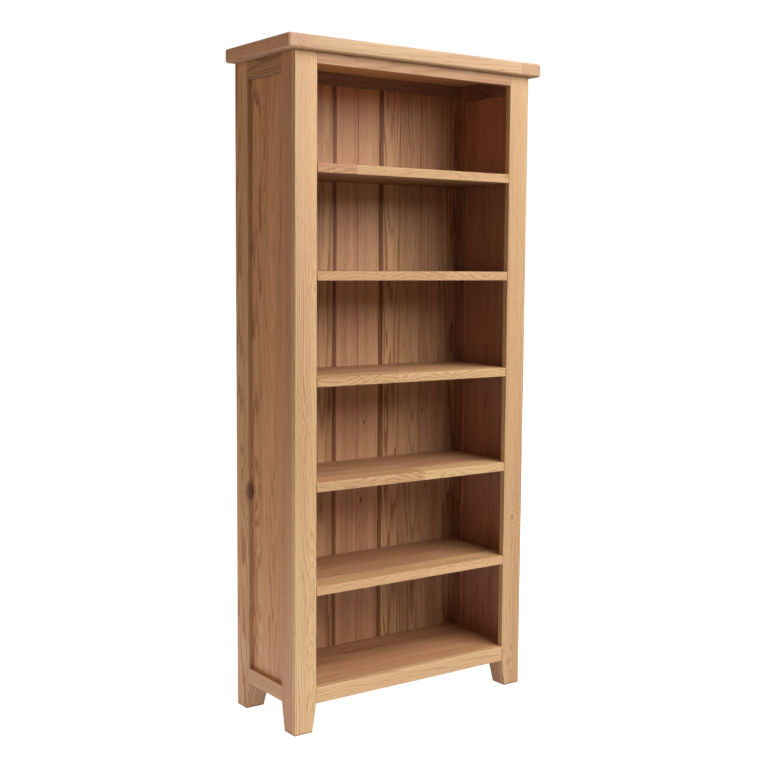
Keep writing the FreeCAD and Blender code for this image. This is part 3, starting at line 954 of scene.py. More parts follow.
@dataclass
class Board:
    """One piece of oak that stands for one CAD node.

    It starts as a swept outline, or as the node's own box, is worked by its tools in order,
    drilled, scored where its staves meet, and then given its piece of the log. dim is painted
    shade: a face that looks into a bay, or down, is painted darker where shade would fall on it.
    """

    node: str
    grain: Grain
    finish: OakFinish
    body: str = ROOT_BODY
    timbers: tuple[Timber, ...] = (Timber(),)
    outline: list[tuple[float, float]] | None = None
    sweep: int | None = None
    tools: list[Rounding | SawCut] = field(default_factory=list)
    bores: list[Bore] = field(default_factory=list)
    housings: list[Housing] = field(default_factory=list)
    lay: Lay = Lay()
    knots: tuple[Knot, ...] = ()
    band: HeartBand | None = None
    dim: PaintedShade | None = None
    ease: float = 1.5 * MM
    end_ease: float = 0.4 * MM
    low: Vector | None = None
    high: Vector | None = None

    EASE_STEPS: ClassVar[int] = 3
    # Painted contact shade: a foot is darkened for its last 6 mm above the floor.
    FOOT_RIM: ClassVar[float] = 6 * MM
    FOOT_CONTACT_SHADE: ClassVar[float] = 5.0
    # How much one board's place in the log, brightness and hue differ from the next one's.
    LOG_LENGTH: ClassVar[float] = 40.0
    SAW_DRIFT: ClassVar[float] = 8 * MM
    PITH_DRIFT: ClassVar[tuple[float, float]] = (-10 * MM, 20 * MM)
    LEAN_ACROSS: ClassVar[float] = 0.3
    SHADE_SPAN: ClassVar[tuple[float, float]] = (0.97, 1.03)
    WARMTH_DRIFT: ClassVar[float] = 0.12
    # A face looks along an axis if it is within about 25 degrees of it.
    LOOKS_ALONG: ClassVar[float] = 0.9

    def __post_init__(self) -> None:
        """Take the size from the CAD node unless it is given."""
        low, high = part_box(self.node)
        self.low = self.low or low
        self.high = self.high or high
        sizes = [(self.high[axis] - self.low[axis], axis) for axis in range(3)
                 if axis != self.grain.value]
        self.through = min(sizes)[1]
        self.across = max(sizes)[1]

    def _stands(self) -> bool:
        """Whether the board stands on the floor."""
        return self.grain is Grain.Z and self.low.z < OVERSHOOT

    def make(self) -> Object:
        """Build the board, dress it and hang it on its body.

        Returns:
            The new piece.
        """
        mesh = self._shape()
        mesh.name = f"{self.node}_oak"
        self._write_log(mesh)
        mesh.materials.clear()
        mesh.materials.append(RACK.take(self.finish))
        piece = placed(f"{self.node}_oak", mesh)
        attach(piece, self.body)
        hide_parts(self.node)
        LOG.info("%s: %d faces, rides on %s", piece.name, len(mesh.polygons), self.body)
        return piece

    def dress_node(self) -> Object:
        """Give the CAD node itself this timber and finish, where its own shape is right.

        Returns:
            The CAD node's object.
        """
        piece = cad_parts[self.node]
        self._write_log(piece.data)
        piece.data.materials.clear()
        piece.data.materials.append(RACK.take(self.finish))
        LOG.info("%s: CAD shape kept, rides on %s", self.node, self.body)
        return piece

    def _shape(self) -> bpy.types.Mesh:
        """Cut, ease, drill and score the board.

        Returns:
            Its mesh.
        """
        axis = self.grain.value if self.sweep is None else self.sweep
        outline = self.outline or rectangle(self.low, self.high, axis)
        blank = prism(outline, axis, self.low[axis], self.high[axis])
        for tool in self.tools:
            tool.work(blank)
        if self.ease:
            Rounding(self.ease, self.EASE_STEPS, along(self.grain.value)).work(blank)
        if self.end_ease:
            Rounding(self.end_ease, 1, any_edge).work(blank)
        mesh = bpy.data.meshes.new(self.node)
        blank.to_mesh(mesh)
        blank.free()
        if self.bores or self.housings:
            mesh = bored(mesh, self.bores, self.housings)
        self._score(mesh)
        return mesh

    def _score(self, mesh: bpy.types.Mesh) -> None:
        """Add edge loops where the timber changes: at seams, butt joints and between knots.

        Args:
            mesh: the board, changed in place.
        """
        spots = [(self.across, seam) for seam in self.lay.seams]
        spots += [(self.grain.value, joint) for row in self.lay.joints for joint in row]
        places = sorted(knot.along for knot in self.knots)
        spots += [(self.grain.value, (a + b) / 2) for a, b in zip(places, places[1:])]
        if self._stands():
            spots.append((Grain.Z.value, self.FOOT_RIM))
        if not spots:
            return
        work = bmesh.new()
        work.from_mesh(mesh)
        for axis, spot in spots:
            point = Vector((0, 0, 0))
            normal = Vector((0, 0, 0))
            point[axis] = spot
            normal[axis] = 1
            bmesh.ops.bisect_plane(work, geom=everything(work), plane_co=point,
                                   plane_no=normal, dist=CUT_SNAP)
        work.to_mesh(mesh)
        work.free()

    def _stave_of(self, centres: np.ndarray) -> np.ndarray:
        """Which stave each face belongs to.

        Args:
            centres: the faces' middle points.

        Returns:
            A stave number for each face.
        """
        rows = np.searchsorted(np.array(self.lay.seams), centres[:, self.across])
        if not self.lay.joints:
            return rows
        staves = np.zeros(len(centres), int)
        first = 0
        for row, joints in enumerate(self.lay.joints):
            step = np.searchsorted(np.array(joints), centres[:, self.grain.value])
            staves = np.where(rows == row, first + step, staves)
            first += len(joints) + 1
        return staves

    def _write_log(self, mesh: bpy.types.Mesh) -> None:
        """Write the timber, tone, heart band and knots to the mesh's corners.

        Args:
            mesh: the finished board.
        """
        owner = read_all(mesh.loops, "vertex_index", kind=int)
        spots = read_all(mesh.vertices, "co", 3)[owner]
        counts = read_all(mesh.polygons, "loop_total", kind=int)
        centres = read_all(mesh.polygons, "center", 3)
        face = np.repeat(np.arange(len(mesh.polygons)), counts)
        facing = read_all(mesh.polygons, "normal", 3)[face]
        log, tone, figure = self._draw_timber(spots, self._stave_of(centres)[face])
        self._age(tone, spots, facing)
        heart, knot = self._draw_marks(spots, centres, face)
        for name, values in (("log", log), ("tone", tone), ("heart", heart), ("knot", knot)):
            layer = mesh.attributes.new(name, "FLOAT_VECTOR", "CORNER")
            layer.data.foreach_set("vector", values.astype(np.float32).ravel())
        layer = mesh.attributes.new("figure", "FLOAT", "CORNER")
        layer.data.foreach_set("value", figure.astype(np.float32))

    def _draw_timber(self, spots: np.ndarray, stave: np.ndarray,
                     ) -> tuple[np.ndarray, np.ndarray, np.ndarray]:
        """Give each stave its own piece of the log.

        Args:
            spots: the place of each corner.
            stave: the stave number of each corner.

        Returns:
            The place in the log, the tone and the strength of the rings, for each corner.
        """
        across, through = self.across, self.through
        low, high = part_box(self.node)
        middle = (low + high) / 2
        log = np.zeros((len(spots), 3))
        tone = np.zeros((len(spots), 3))
        figure = np.zeros(len(spots))
        for index in np.unique(stave):
            timber = self.timbers[index % len(self.timbers)]
            draw = random.Random(zlib.crc32(f"{self.node} {index} {timber.seed}".encode()))
            mine = stave == index
            run = spots[mine, self.grain.value]
            side = draw.choice((-1, 1))
            face_up = draw.choice((-1, 1))
            pith_across, pith_through = timber.cut.value
            offset_a = side * (pith_across + draw.uniform(-self.SAW_DRIFT, self.SAW_DRIFT))
            offset_t = face_up * (pith_through + draw.uniform(*self.PITH_DRIFT))
            lean_a = draw.uniform(-self.LEAN_ACROSS, self.LEAN_ACROSS) * timber.lean
            lean_t = draw.choice((-1, 1)) * timber.lean
            log[mine, 0] = run + draw.uniform(-self.LOG_LENGTH, self.LOG_LENGTH)
            log[mine, 1] = spots[mine, across] - middle[across] + offset_a + lean_a * run
            log[mine, 2] = spots[mine, through] - middle[through] + offset_t + lean_t * run
            tone[mine, 0] = timber.shade * draw.uniform(*self.SHADE_SPAN)
            tone[mine, 1] = timber.warmth + draw.uniform(-self.WARMTH_DRIFT, self.WARMTH_DRIFT)
            figure[mine] = timber.figure
        return log, tone, figure

    def _age(self, tone: np.ndarray, spots: np.ndarray, facing: np.ndarray) -> None:
        """Paint shade on a face that a bay hides, darken the end grain, and paint contact shade on
        the rim of a foot.

        Args:
            tone: shade, warmth and end grain of each corner, changed in place.
            spots: the place of each corner.
            facing: where each corner's face looks.
        """
        # Painted shade: a face that looks into a bay, or down, is made darker, and warmer where it
        # is given warmth.
        if self.dim:
            painted_dark = facing @ np.array(self.dim.looks) > self.LOOKS_ALONG
            tone[painted_dark, 0] *= self.dim.level
            tone[painted_dark, 1] += self.dim.warms
        tone[:, 2] = np.abs(facing[:, self.grain.value]) ** 4
        # Painted contact shade on a foot's rim, carried with the end grain.
        if self._stands():
            tone[:, 2] += self.FOOT_CONTACT_SHADE * np.clip(1 - spots[:, 2] / self.FOOT_RIM, 0, 1)

    def _draw_marks(self, spots: np.ndarray, centres: np.ndarray,
                    face: np.ndarray) -> tuple[np.ndarray, np.ndarray]:
        """Place the heartwood band, and give each corner its nearest knot.

        Args:
            spots: the place of each corner.
            centres: the faces' middle points.
            face: the face of each corner.

        Returns:
            The heart and knot values of each corner.
        """
        grain, across = self.grain.value, self.across
        heart = np.zeros((len(spots), 3))
        heart[:, 0] = FAR
        if self.band:
            half = (self.band.end - self.band.start) / 2
            heart[:, 0] = (spots[:, across] - self.band.start - half) / half
            heart[:, 1] = self.band.strength
        knot = np.full((len(spots), 3), FAR)
        knots = sorted(self.knots, key=lambda item: item.along)
        borders = np.array([(a.along + b.along) / 2 for a, b in zip(knots, knots[1:])])
        nearest = np.searchsorted(borders, centres[:, grain])[face]
        for index, item in enumerate(knots):
            mine = nearest == index
            knot[mine, 0] = (spots[mine, grain] - item.along) / item.half_length
            knot[mine, 1] = (spots[mine, across] - item.across) / item.half_width
            knot[mine, 2] = 0
            heart[mine, 2] = item.dark
        return heart, knot


# ---------------------------------------------------------------------------- sub-assemblies


@dataclass
class Top:
    """The top: a glued panel between two cleats, with soft corners and edges."""

    corner_radius: float = 8 * MM
    edge_radius: float = 6 * MM
    stave_width: float = 70 * MM
    joint_ease: float = 0.5 * MM

    CORNER_STEPS: ClassVar[int] = 6
    EDGE_STEPS: ClassVar[int] = 5
    STAVES: ClassVar[tuple[Timber, ...]] = (
        Timber(Cut.FLAT, 0.86, 0.3, 0.03), Timber(Cut.RIFT, 0.96, 0.5),
        Timber(Cut.FLAT, 1.0, 0.6), Timber(Cut.QUARTER, 1.03, 0.4), Timber(Cut.FLAT, 0.97, 0.3))
    CLEATS: ClassVar[dict[Side, Timber]] = {Side.LEFT: Timber(Cut.FLAT, 1.02, 1.0, 0.02),
                                            Side.RIGHT: Timber(Cut.RIFT, 0.97, 0.8)}

    def build(self) -> list[Object]:
        """Build the panel and its cleats.

        Returns:
            The three pieces.
        """
        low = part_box("top_cleat_left")[0]
        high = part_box("top_cleat_right")[1]
        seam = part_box("top_cleat_right")[0].x
        lay = Lay(glue_lines(low.y, high.y, self.stave_width))
        made = [self._part("top_panel", Grain.X, low, high, self.STAVES, lay,
                           [((-seam, 0, 0), (-1, 0, 0)), ((seam, 0, 0), (1, 0, 0))])]
        for side, timber in self.CLEATS.items():
            inner = (side.value * seam, 0, 0)
            made.append(self._part(side.named("top_cleat"), Grain.Y, low, high, (timber,), Lay(),
                                   [(inner, (-side.value, 0, 0))]))
        return made

    def _part(self, node: str, grain: Grain, low: Vector, high: Vector,
              timbers: tuple[Timber, ...], lay: Lay,
              cuts: list[tuple[Triple, Triple]]) -> Object:
        """One part sawn from the whole rounded slab.

        Args:
            node: the CAD node it stands for.
            grain: its grain direction.
            low: the slab's lowest corner.
            high: the slab's highest corner.
            timbers: the wood of its staves.
            lay: its seams.
            cuts: point and direction of each saw cut.

        Returns:
            The piece.
        """
        upright = Grain.Z.value
        tools = [Rounding(self.corner_radius, self.CORNER_STEPS, along(upright)),
                 Rounding(self.edge_radius, self.EDGE_STEPS, any_edge)]
        tools += [SawCut(point, away) for point, away in cuts]
        return Board(node, grain, TOP_OAK, timbers=timbers, lay=lay, low=low, high=high,
                     outline=rectangle(low, high, upright), sweep=upright, tools=tools,
                     ease=0, end_ease=self.joint_ease).make()


@dataclass
class FaceFrame:
    """The front frame: two stiles down to the floor, and a rail above and below."""

    foot_height: float = 80 * MM
    foot_tip_width: float = 58 * MM
    stile_ease: float = 2 * MM
    rail_ease: float = 1 * MM

    STILES: ClassVar[dict[Side, Timber]] = {Side.LEFT: Timber(Cut.RIFT, 1.04, 0.3, 0.03, 3),
                                            Side.RIGHT: Timber(Cut.QUARTER, 0.97, 0.35, 0.012, 1)}
    # The left stile's grain bends in four places; the right one has a knot at knee height and a
    # faint one at its foot.
    KNOTS: ClassVar[dict[Side, tuple[Knot, ...]]] = {
        Side.LEFT: (Knot(0.16, -0.344, 40 * MM, 13 * MM, 0),
                    Knot(0.40, -0.340, 60 * MM, 15 * MM, 0),
                    Knot(0.80, -0.400, 50 * MM, 14 * MM, 0),
                    Knot(1.29, -0.338, 34 * MM, 12 * MM, 0)),
        Side.RIGHT: (Knot(0.528, 0.3725, 9 * MM, 3.5 * MM),
                     Knot(0.075, 0.366, 20 * MM, 7 * MM, 0.3))}
    # The top rail is painted darker and rosier: a painted shadow of the top's overhang.
    RAILS: ClassVar[dict[str, Timber]] = {
        "face_top_rail": Timber(Cut.FLAT, 0.82, 0.95, 0.02, figure=0.6),
        "face_bottom_rail": Timber(Cut.RIFT, 1.04, 0.3, 0.03)}

    def build(self) -> list[Object]:
        """Build the stiles and rails.

        Returns:
            The four pieces.
        """
        made = [self._stile(side) for side in Side]
        for node, timber in self.RAILS.items():
            made.append(Board(node, Grain.X, FRAME_OAK, timbers=(timber,),
                              ease=self.rail_ease).make())
        return made

    def _stile(self, side: Side) -> Object:
        """One stile, its foot tapered on the inner edge.

        Args:
            side: left or right.

        Returns:
            The piece.
        """
        node = side.named("face_stile")
        low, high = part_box(node)
        width = high.x - low.x
        inner = low.x if side is Side.RIGHT else high.x
        lean = (width - self.foot_tip_width) / self.foot_height
        taper = SawCut((inner, 0, self.foot_height), (-side.value, 0, -lean))
        return Board(node, Grain.Z, FRAME_OAK, timbers=(self.STILES[side],), tools=[taper],
                     knots=self.KNOTS[side], ease=self.stile_ease).make()


@dataclass
class SideFrame:
    """A side: two legs and two rails round a recessed panel, with the foot blocks."""

    side: Side
    foot_height: float = 80 * MM
    foot_tip_width: float = 58 * MM
    foot_tip_depth: float = 55 * MM
    pin_radius: float = 3 * MM
    pin_depth: float = 12 * MM
    hole_pitch: float = 32 * MM
    hole_clearance: float = 0.1 * MM
    rebate_width: float = 12 * MM
    front_leg_ease: float = 0.6 * MM
    rear_leg_ease: float = 1.5 * MM
    rail_ease: float = 1 * MM
    panel_ease: float = 0.5 * MM
    foot_ease: float = 1.2 * MM
    # The right side is rosier all over, a hue picked for the painted shade on its inner faces.
    # Those inner faces, which look into the bays, get painted shade: the warmth below tints them
    # plum, and the levels after it darken each member.
    right_warmth: float = 0.35
    painted_shade_warmth: float = 1.6
    front_leg_painted_shade: float = 0.8
    rear_leg_painted_shade: float = 0.55
    panel_painted_shade: float = 0.78
    rail_painted_shade: float = 0.55

    PANEL_SEAMS: ClassVar[tuple[float, float]] = (0.36, 0.68)
    PANEL_BENDS: ClassVar[tuple[Knot, ...]] = (Knot(0.35, 0.07, 70 * MM, 12 * MM, 0),
                                               Knot(1.62, 0.025, 70 * MM, 9 * MM, 0))
    # The left side has a large knot in its rear leg, and its fringe shows in the panel.
    LEG_KNOT: ClassVar[Knot] = Knot(0.646, 0.104, 46 * MM, 20 * MM, 0.7)
    PANEL_KNOT: ClassVar[Knot] = Knot(0.65, 0.102, 40 * MM, 16 * MM, 0.8)

    def build(self) -> list[Object]:
        """Build the side's pieces.

        Returns:
            Two legs, a panel, two foot blocks and two rails.
        """
        made = [self._front_stile(), self._rear_stile(), self._panel()]
        made += [self._foot("front_foot_block", 1), self._foot("rear_foot_block", -1)]
        for node, wood in (("side_top_rail", self._wood(Cut.FLAT, 0.70, 0.9, 0.03)),
                           ("side_bottom_rail", self._wood(Cut.RIFT, 0.96, 0.55, 0.02))):
            made.append(Board(self.side.named(node), Grain.Y, FRAME_OAK, timbers=(wood,),
                              low=self._rail_low(node), high=self._rail_high(node),
                              dim=self._painted_shade(self.rail_painted_shade), ease=self.rail_ease).make())
        return made

    def _wood(self, cut: Cut, shade: float, warmth: float, lean: float,
              seed: int = 0) -> Timber:
        """This side's timber, which is rosier on the right, a hue picked for the painted shade on
        its inner faces.

        Args:
            cut: how it was sawn.
            shade: its brightness.
            warmth: its hue.
            lean: how far the pith runs off the grain.
            seed: picks its piece of the log.

        Returns:
            The timber.
        """
        if self.side is Side.RIGHT:
            warmth += self.right_warmth
        return Timber(cut, shade, warmth, lean, seed)

    def _painted_shade(self, level: float) -> PaintedShade | None:
        """The painted shade on the right side's inner faces; the left side's get none."""
        return PaintedShade((-1, 0, 0), level, self.painted_shade_warmth) if self.side is Side.RIGHT else None

    def _rail_low(self, node: str) -> Vector:
        """The rail's lowest corner, without the tenon in the front leg."""
        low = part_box(self.side.named(node))[0]
        return Vector((low.x, self._leg_faces()[0], low.z))

    def _rail_high(self, node: str) -> Vector:
        """The rail's highest corner, without the tenon in the rear leg."""
        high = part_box(self.side.named(node))[1]
        return Vector((high.x, self._leg_faces()[1], high.z))

    def _leg_faces(self) -> tuple[float, float]:
        """Where the front leg ends and the rear leg starts."""
        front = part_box(self.side.named("side_front_stile"))[1].y
        return front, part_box(self.side.named("side_rear_stile"))[0].y

    def _depth_taper(self, face: float, tip: float) -> SawCut:
        """The cut that narrows a foot from front to back.

        Args:
            face: the leg's face above the foot.
            tip: that face at the floor.

        Returns:
            The cut.
        """
        lean = (face - tip) / self.foot_height
        toward = 1 if face > tip else -1
        return SawCut((0, face, self.foot_height), (0, toward, -abs(lean)))

    def _tip_y(self, rear: bool) -> tuple[float, float]:
        """A leg's inner face above the foot, and at the floor.

        Args:
            rear: whether it is the rear leg.

        Returns:
            The two places.
        """
        if rear:
            low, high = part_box(self.side.named("side_rear_stile"))
            return low.y, high.y - self.foot_tip_depth
        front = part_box(self.side.named("face_stile"))[0].y
        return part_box(self.side.named("side_front_stile"))[1].y, front + self.foot_tip_depth

    def _pin_holes(self, y: float) -> list[Bore]:
        """One column of pin holes in the inner face.

        Args:
            y: the column's place.

        Returns:
            The holes.
        """
        stile_low, stile_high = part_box(self.side.named("side_front_stile"))
        inner = stile_high.x if self.side is Side.LEFT else stile_low.x
        outward = self.side.value
        holes = []
        for number in SHELVES:
            pin_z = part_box(f"shelf_pins_{number}")[0].z + self.pin_radius
            for step in (-1, 0, 1):
                start = (inner - outward * OVERSHOOT, y, pin_z + step * self.hole_pitch)
                run = (outward * (self.pin_depth + OVERSHOOT), 0, 0)
                holes.append(Bore(start, run, self.pin_radius + self.hole_clearance))
        return holes

    def _pin_y(self, rear: bool) -> float:
        """The pin column's place, from the pins themselves."""
        low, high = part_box("shelf_pins_1")
        return high.y - self.pin_radius if rear else low.y + self.pin_radius

    def _front_stile(self) -> Object:
        """The front leg, behind the face frame.

        Returns:
            The piece.
        """
        timber = self._wood(Cut.RIFT, 0.86, 0.95, 0.010)
        return Board(self.side.named("side_front_stile"), Grain.Z, FRAME_OAK, timbers=(timber,),
                     tools=[self._depth_taper(*self._tip_y(False))],
                     dim=self._painted_shade(self.front_leg_painted_shade), ease=self.front_leg_ease,
                     bores=self._pin_holes(self._pin_y(False))).make()

    def _rear_stile(self) -> Object:
        """The rear leg, rebated for the back boards.

        Returns:
            The piece.
        """
        node = self.side.named("side_rear_stile")
        low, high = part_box(node)
        back_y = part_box("back_board_1")[0].y
        if self.side is Side.LEFT:
            start, end = high.x - self.rebate_width, high.x + OVERSHOOT
        else:
            start, end = low.x - OVERSHOOT, low.x + self.rebate_width
        rebate = Housing((start, back_y, self.foot_height),
                         (end, high.y + OVERSHOOT, high.z + OVERSHOOT))
        timber = self._wood(Cut.FLAT, 1.03, 0.6, 0.02, 2)
        knots = (self.LEG_KNOT,) if self.side is Side.LEFT else ()
        return Board(node, Grain.Z, FRAME_OAK, timbers=(timber,), housings=[rebate],
                     tools=[self._depth_taper(*self._tip_y(True))],
                     dim=self._painted_shade(self.rear_leg_painted_shade), knots=knots, ease=self.rear_leg_ease,
                     bores=self._pin_holes(self._pin_y(True))).make()

    def _panel(self) -> Object:
        """The panel, glued up from three staves.

        Returns:
            The piece.
        """
        node = self.side.named("side_panel")
        low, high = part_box(node)
        seams = tuple(low.y + (high.y - low.y) * share for share in self.PANEL_SEAMS)
        timbers = (self._wood(Cut.FLAT, 1.02, 0.5, 0.03, 1),
                   self._wood(Cut.FLAT, 1.05, 0.6, 0.03, 2),
                   self._wood(Cut.RIFT, 1.01, 0.5, 0.02, 3))
        knots = self.PANEL_BENDS
        if self.side is Side.LEFT:
            knots += (self.PANEL_KNOT,)
        return Board(node, Grain.Z, PANEL_OAK, timbers=timbers, lay=Lay(seams), knots=knots,
                     dim=self._painted_shade(self.panel_painted_shade), ease=self.panel_ease).make()

    def _foot(self, name: str, toward: int) -> Object:
        """A block that fills the inner corner of a foot.

        Args:
            name: the block's name without its side.
            toward: 1 for a front foot and -1 for a rear one.

        Returns:
            The piece.
        """
        node = self.side.named(name)
        low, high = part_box(node)
        inner = low.x if self.side is Side.RIGHT else high.x
        face_low, face_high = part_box(self.side.named("face_stile"))
        lean = (face_high.x - face_low.x - self.foot_tip_width) / self.foot_height
        cuts = [SawCut((inner, 0, self.foot_height), (-self.side.value, 0, -lean)),
                self._depth_taper(*self._tip_y(toward < 0))]
        timber = self._wood(Cut.FLAT, 0.84, 0.6, 0.06)
        return Board(node, Grain.Z, FRAME_OAK, timbers=(timber,), tools=cuts,
                     ease=self.foot_ease).make()


@dataclass
class Back:
    """The back: ten tongued boards with a small V between them, and two rails."""

    board_gap: float = 0.5 * MM
    bevel: float = 1.5 * MM
    tongue: float = 5 * MM
    screw_head: float = 3.5 * MM
    board_well_radius: float = 3.7 * MM
    board_well_depth: float = 2.4 * MM
    rail_well_radius: float = 3.6 * MM
    rail_well_spare: float = 0.1 * MM
    rail_ease: float = 0.8 * MM

    BOARDS: ClassVar[int] = 10
    # The top rail is painted dark and plum: painted shade under the top.
    TOP_RAIL_IN_PAINTED_SHADE: ClassVar[Timber] = Timber(Cut.RIFT, 0.48, 2.5, 0.004)
    BOTTOM_RAIL: ClassVar[Timber] = Timber(Cut.RIFT, 0.9, 0.5)

    def build(self) -> list[Object]:
        """Build the boards and rails.

        Returns:
            The pieces.
        """
        edges = self._edges()
        made = [self._board(index, edges) for index in range(self.BOARDS)]
        made.append(self._top_rail())
        made.append(Board("back_bottom_rail", Grain.X, FRAME_OAK,
                          timbers=(self.BOTTOM_RAIL,)).dress_node())
        return made

    def _edges(self) -> list[float]:
        """Find the seams between the boards.

        Returns:
            The seams, with the two outer edges.
        """
        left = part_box("back_board_1")[0].x - self.board_gap / 2
        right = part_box(f"back_board_{self.BOARDS}")[1].x + self.board_gap / 2
        return [left + (right - left) * index / self.BOARDS for index in range(self.BOARDS + 1)]

    def _timber(self, number: int, left: float,
                right: float) -> tuple[Timber, HeartBand | None, tuple[Knot, ...]]:
        """The wood of one board.

        Args:
            number: the board's number, from the left.
            left: the seam on its left.
            right: the seam on its right.

        Returns:
            Its timber, its heartwood band and its knots.
        """
        timbers = {
            1: (Timber(Cut.FLAT, 1.02, 0.4), None, ()),
            2: (Timber(Cut.RIFT, 0.95, 0.6), None, ()),
            3: (Timber(Cut.FLAT, 1.0, 0.5), None, (Knot(1.02, left + 0.05),)),
            4: (Timber(Cut.FLAT, 1.03, 0.3), HeartBand(right - 0.014, right, 1.0), ()),
            5: (Timber(Cut.RIFT, 1.10, 0.9, figure=0.30), None, ()),
            6: (Timber(Cut.RIFT, 1.10, 0.7, figure=0.40), None,
                (Knot(0.814, 0.026), Knot(0.570, 0.0165, 16 * MM, 5 * MM))),
            7: (Timber(Cut.FLAT, 1.10, 0.3, 0.02, figure=1.3),
                HeartBand(left, left + 0.016, 1.0), ()),
            8: (Timber(Cut.FLAT, 0.98, 0.45, 0.03), None,
                (Knot(1.2, left + 0.03, 60 * MM, 9 * MM, 0),)),
            9: (Timber(Cut.RIFT, 0.97, 0.9, figure=0.6), None, (Knot(0.838, 0.251),)),
            10: (Timber(Cut.FLAT, 0.98, 0.5), None, ()),
        }
        return timbers[number]

    def _board(self, index: int, edges: list[float]) -> Object:
        """One tongued board.

        Args:
            index: its place from the left, from 0.
            edges: the seams between the boards.

        Returns:
            The piece.
        """
        node = f"back_board_{index + 1}"
        low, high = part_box(node)
        left = edges[index] + self.board_gap / 2
        right = edges[index + 1] - self.board_gap / 2
        front, rear = low.y, high.y
        third = (rear - front) / 3
        outline = [(left + self.bevel, front), (right - self.bevel, front),
                   (right, front + self.bevel)]
        if index + 1 < self.BOARDS:
            outline += [(right, front + third), (right + self.tongue, front + third),
                        (right + self.tongue, rear - third), (right, rear - third)]
        outline += [(right, rear), (left, rear)]
        if index > 0:
            outline += [(left, rear - third), (left + self.tongue, rear - third),
                        (left + self.tongue, front + third), (left, front + third)]
        outline.append((left, front + self.bevel))
        timber, band, knots = self._timber(index + 1, edges[index], edges[index + 1])
        return Board(node, Grain.Z, BACK_OAK, timbers=(timber,), outline=outline, band=band,
                     knots=knots, ease=0, end_ease=0,
                     bores=self._screw_wells(left, right, rear)).make()

    def _screw_wells(self, left: float, right: float, rear: float) -> list[Bore]:
        """The two countersinks in the back of a board.

        Args:
            left: the board's left edge.
            right: its right edge.
            rear: its rear face.

        Returns:
            The two wells.
        """
        screws_low, screws_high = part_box("back_screws")
        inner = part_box("back_top_rail")[1].x
        x = (max(left, -inner) + min(right, inner)) / 2
        run = (0, -self.board_well_depth - OVERSHOOT, 0)
        return [Bore((x, rear + OVERSHOOT, z), run, self.board_well_radius)
                for z in (screws_low.z + self.screw_head, screws_high.z - self.screw_head)]

    def _top_rail(self) -> Object:
        """The rail under the top, with its three screw wells.

        Returns:
            The piece.
        """
        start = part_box("back_top_rail")[0].z - OVERSHOOT
        screws_low, screws_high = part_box("top_screws")
        y = (screws_low.y + screws_high.y) / 2
        reach = screws_high.x - self.screw_head
        run = (0, 0, screws_low.z - start + self.rail_well_spare)
        wells = [Bore((x, y, start), run, self.rail_well_radius) for x in (-reach, 0.0, reach)]
        return Board("back_top_rail", Grain.X, FRAME_OAK, timbers=(self.TOP_RAIL_IN_PAINTED_SHADE,),
                     ease=self.rail_ease, bores=wells).make()


@dataclass
class FixedShelf:
    """The bottom shelf, glued up from staves, and the battens that carry it."""

    stave_width: float = 71 * MM
    edge_ease: float = 0.6 * MM

    # Painted shade: the staves are painted darker from the front towards the back, where the shade
    # lies deeper.
    STAVES: ClassVar[tuple[Timber, ...]] = (
        Timber(Cut.FLAT, 0.96, 0.7), Timber(Cut.RIFT, 0.84, 0.9),
        Timber(Cut.FLAT, 0.74, 0.9), Timber(Cut.QUARTER, 0.76, 0.7))
    BATTEN: ClassVar[Timber] = Timber(Cut.RIFT, 0.92, 0.5)

    def build(self) -> list[Object]:
        """Build the shelf and dress its battens.

        Returns:
            The pieces.
        """
        low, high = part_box("bottom_shelf")
        lay = Lay(glue_lines(low.y, high.y, self.stave_width))
        made = [Board("bottom_shelf", Grain.X, SHELF_OAK, timbers=self.STAVES, lay=lay,
                      ease=self.edge_ease).make()]
        for side in Side:
            made.append(Board(side.named("shelf_batten"), Grain.Y, FRAME_OAK,
                              timbers=(self.BATTEN,)).dress_node())
        return made


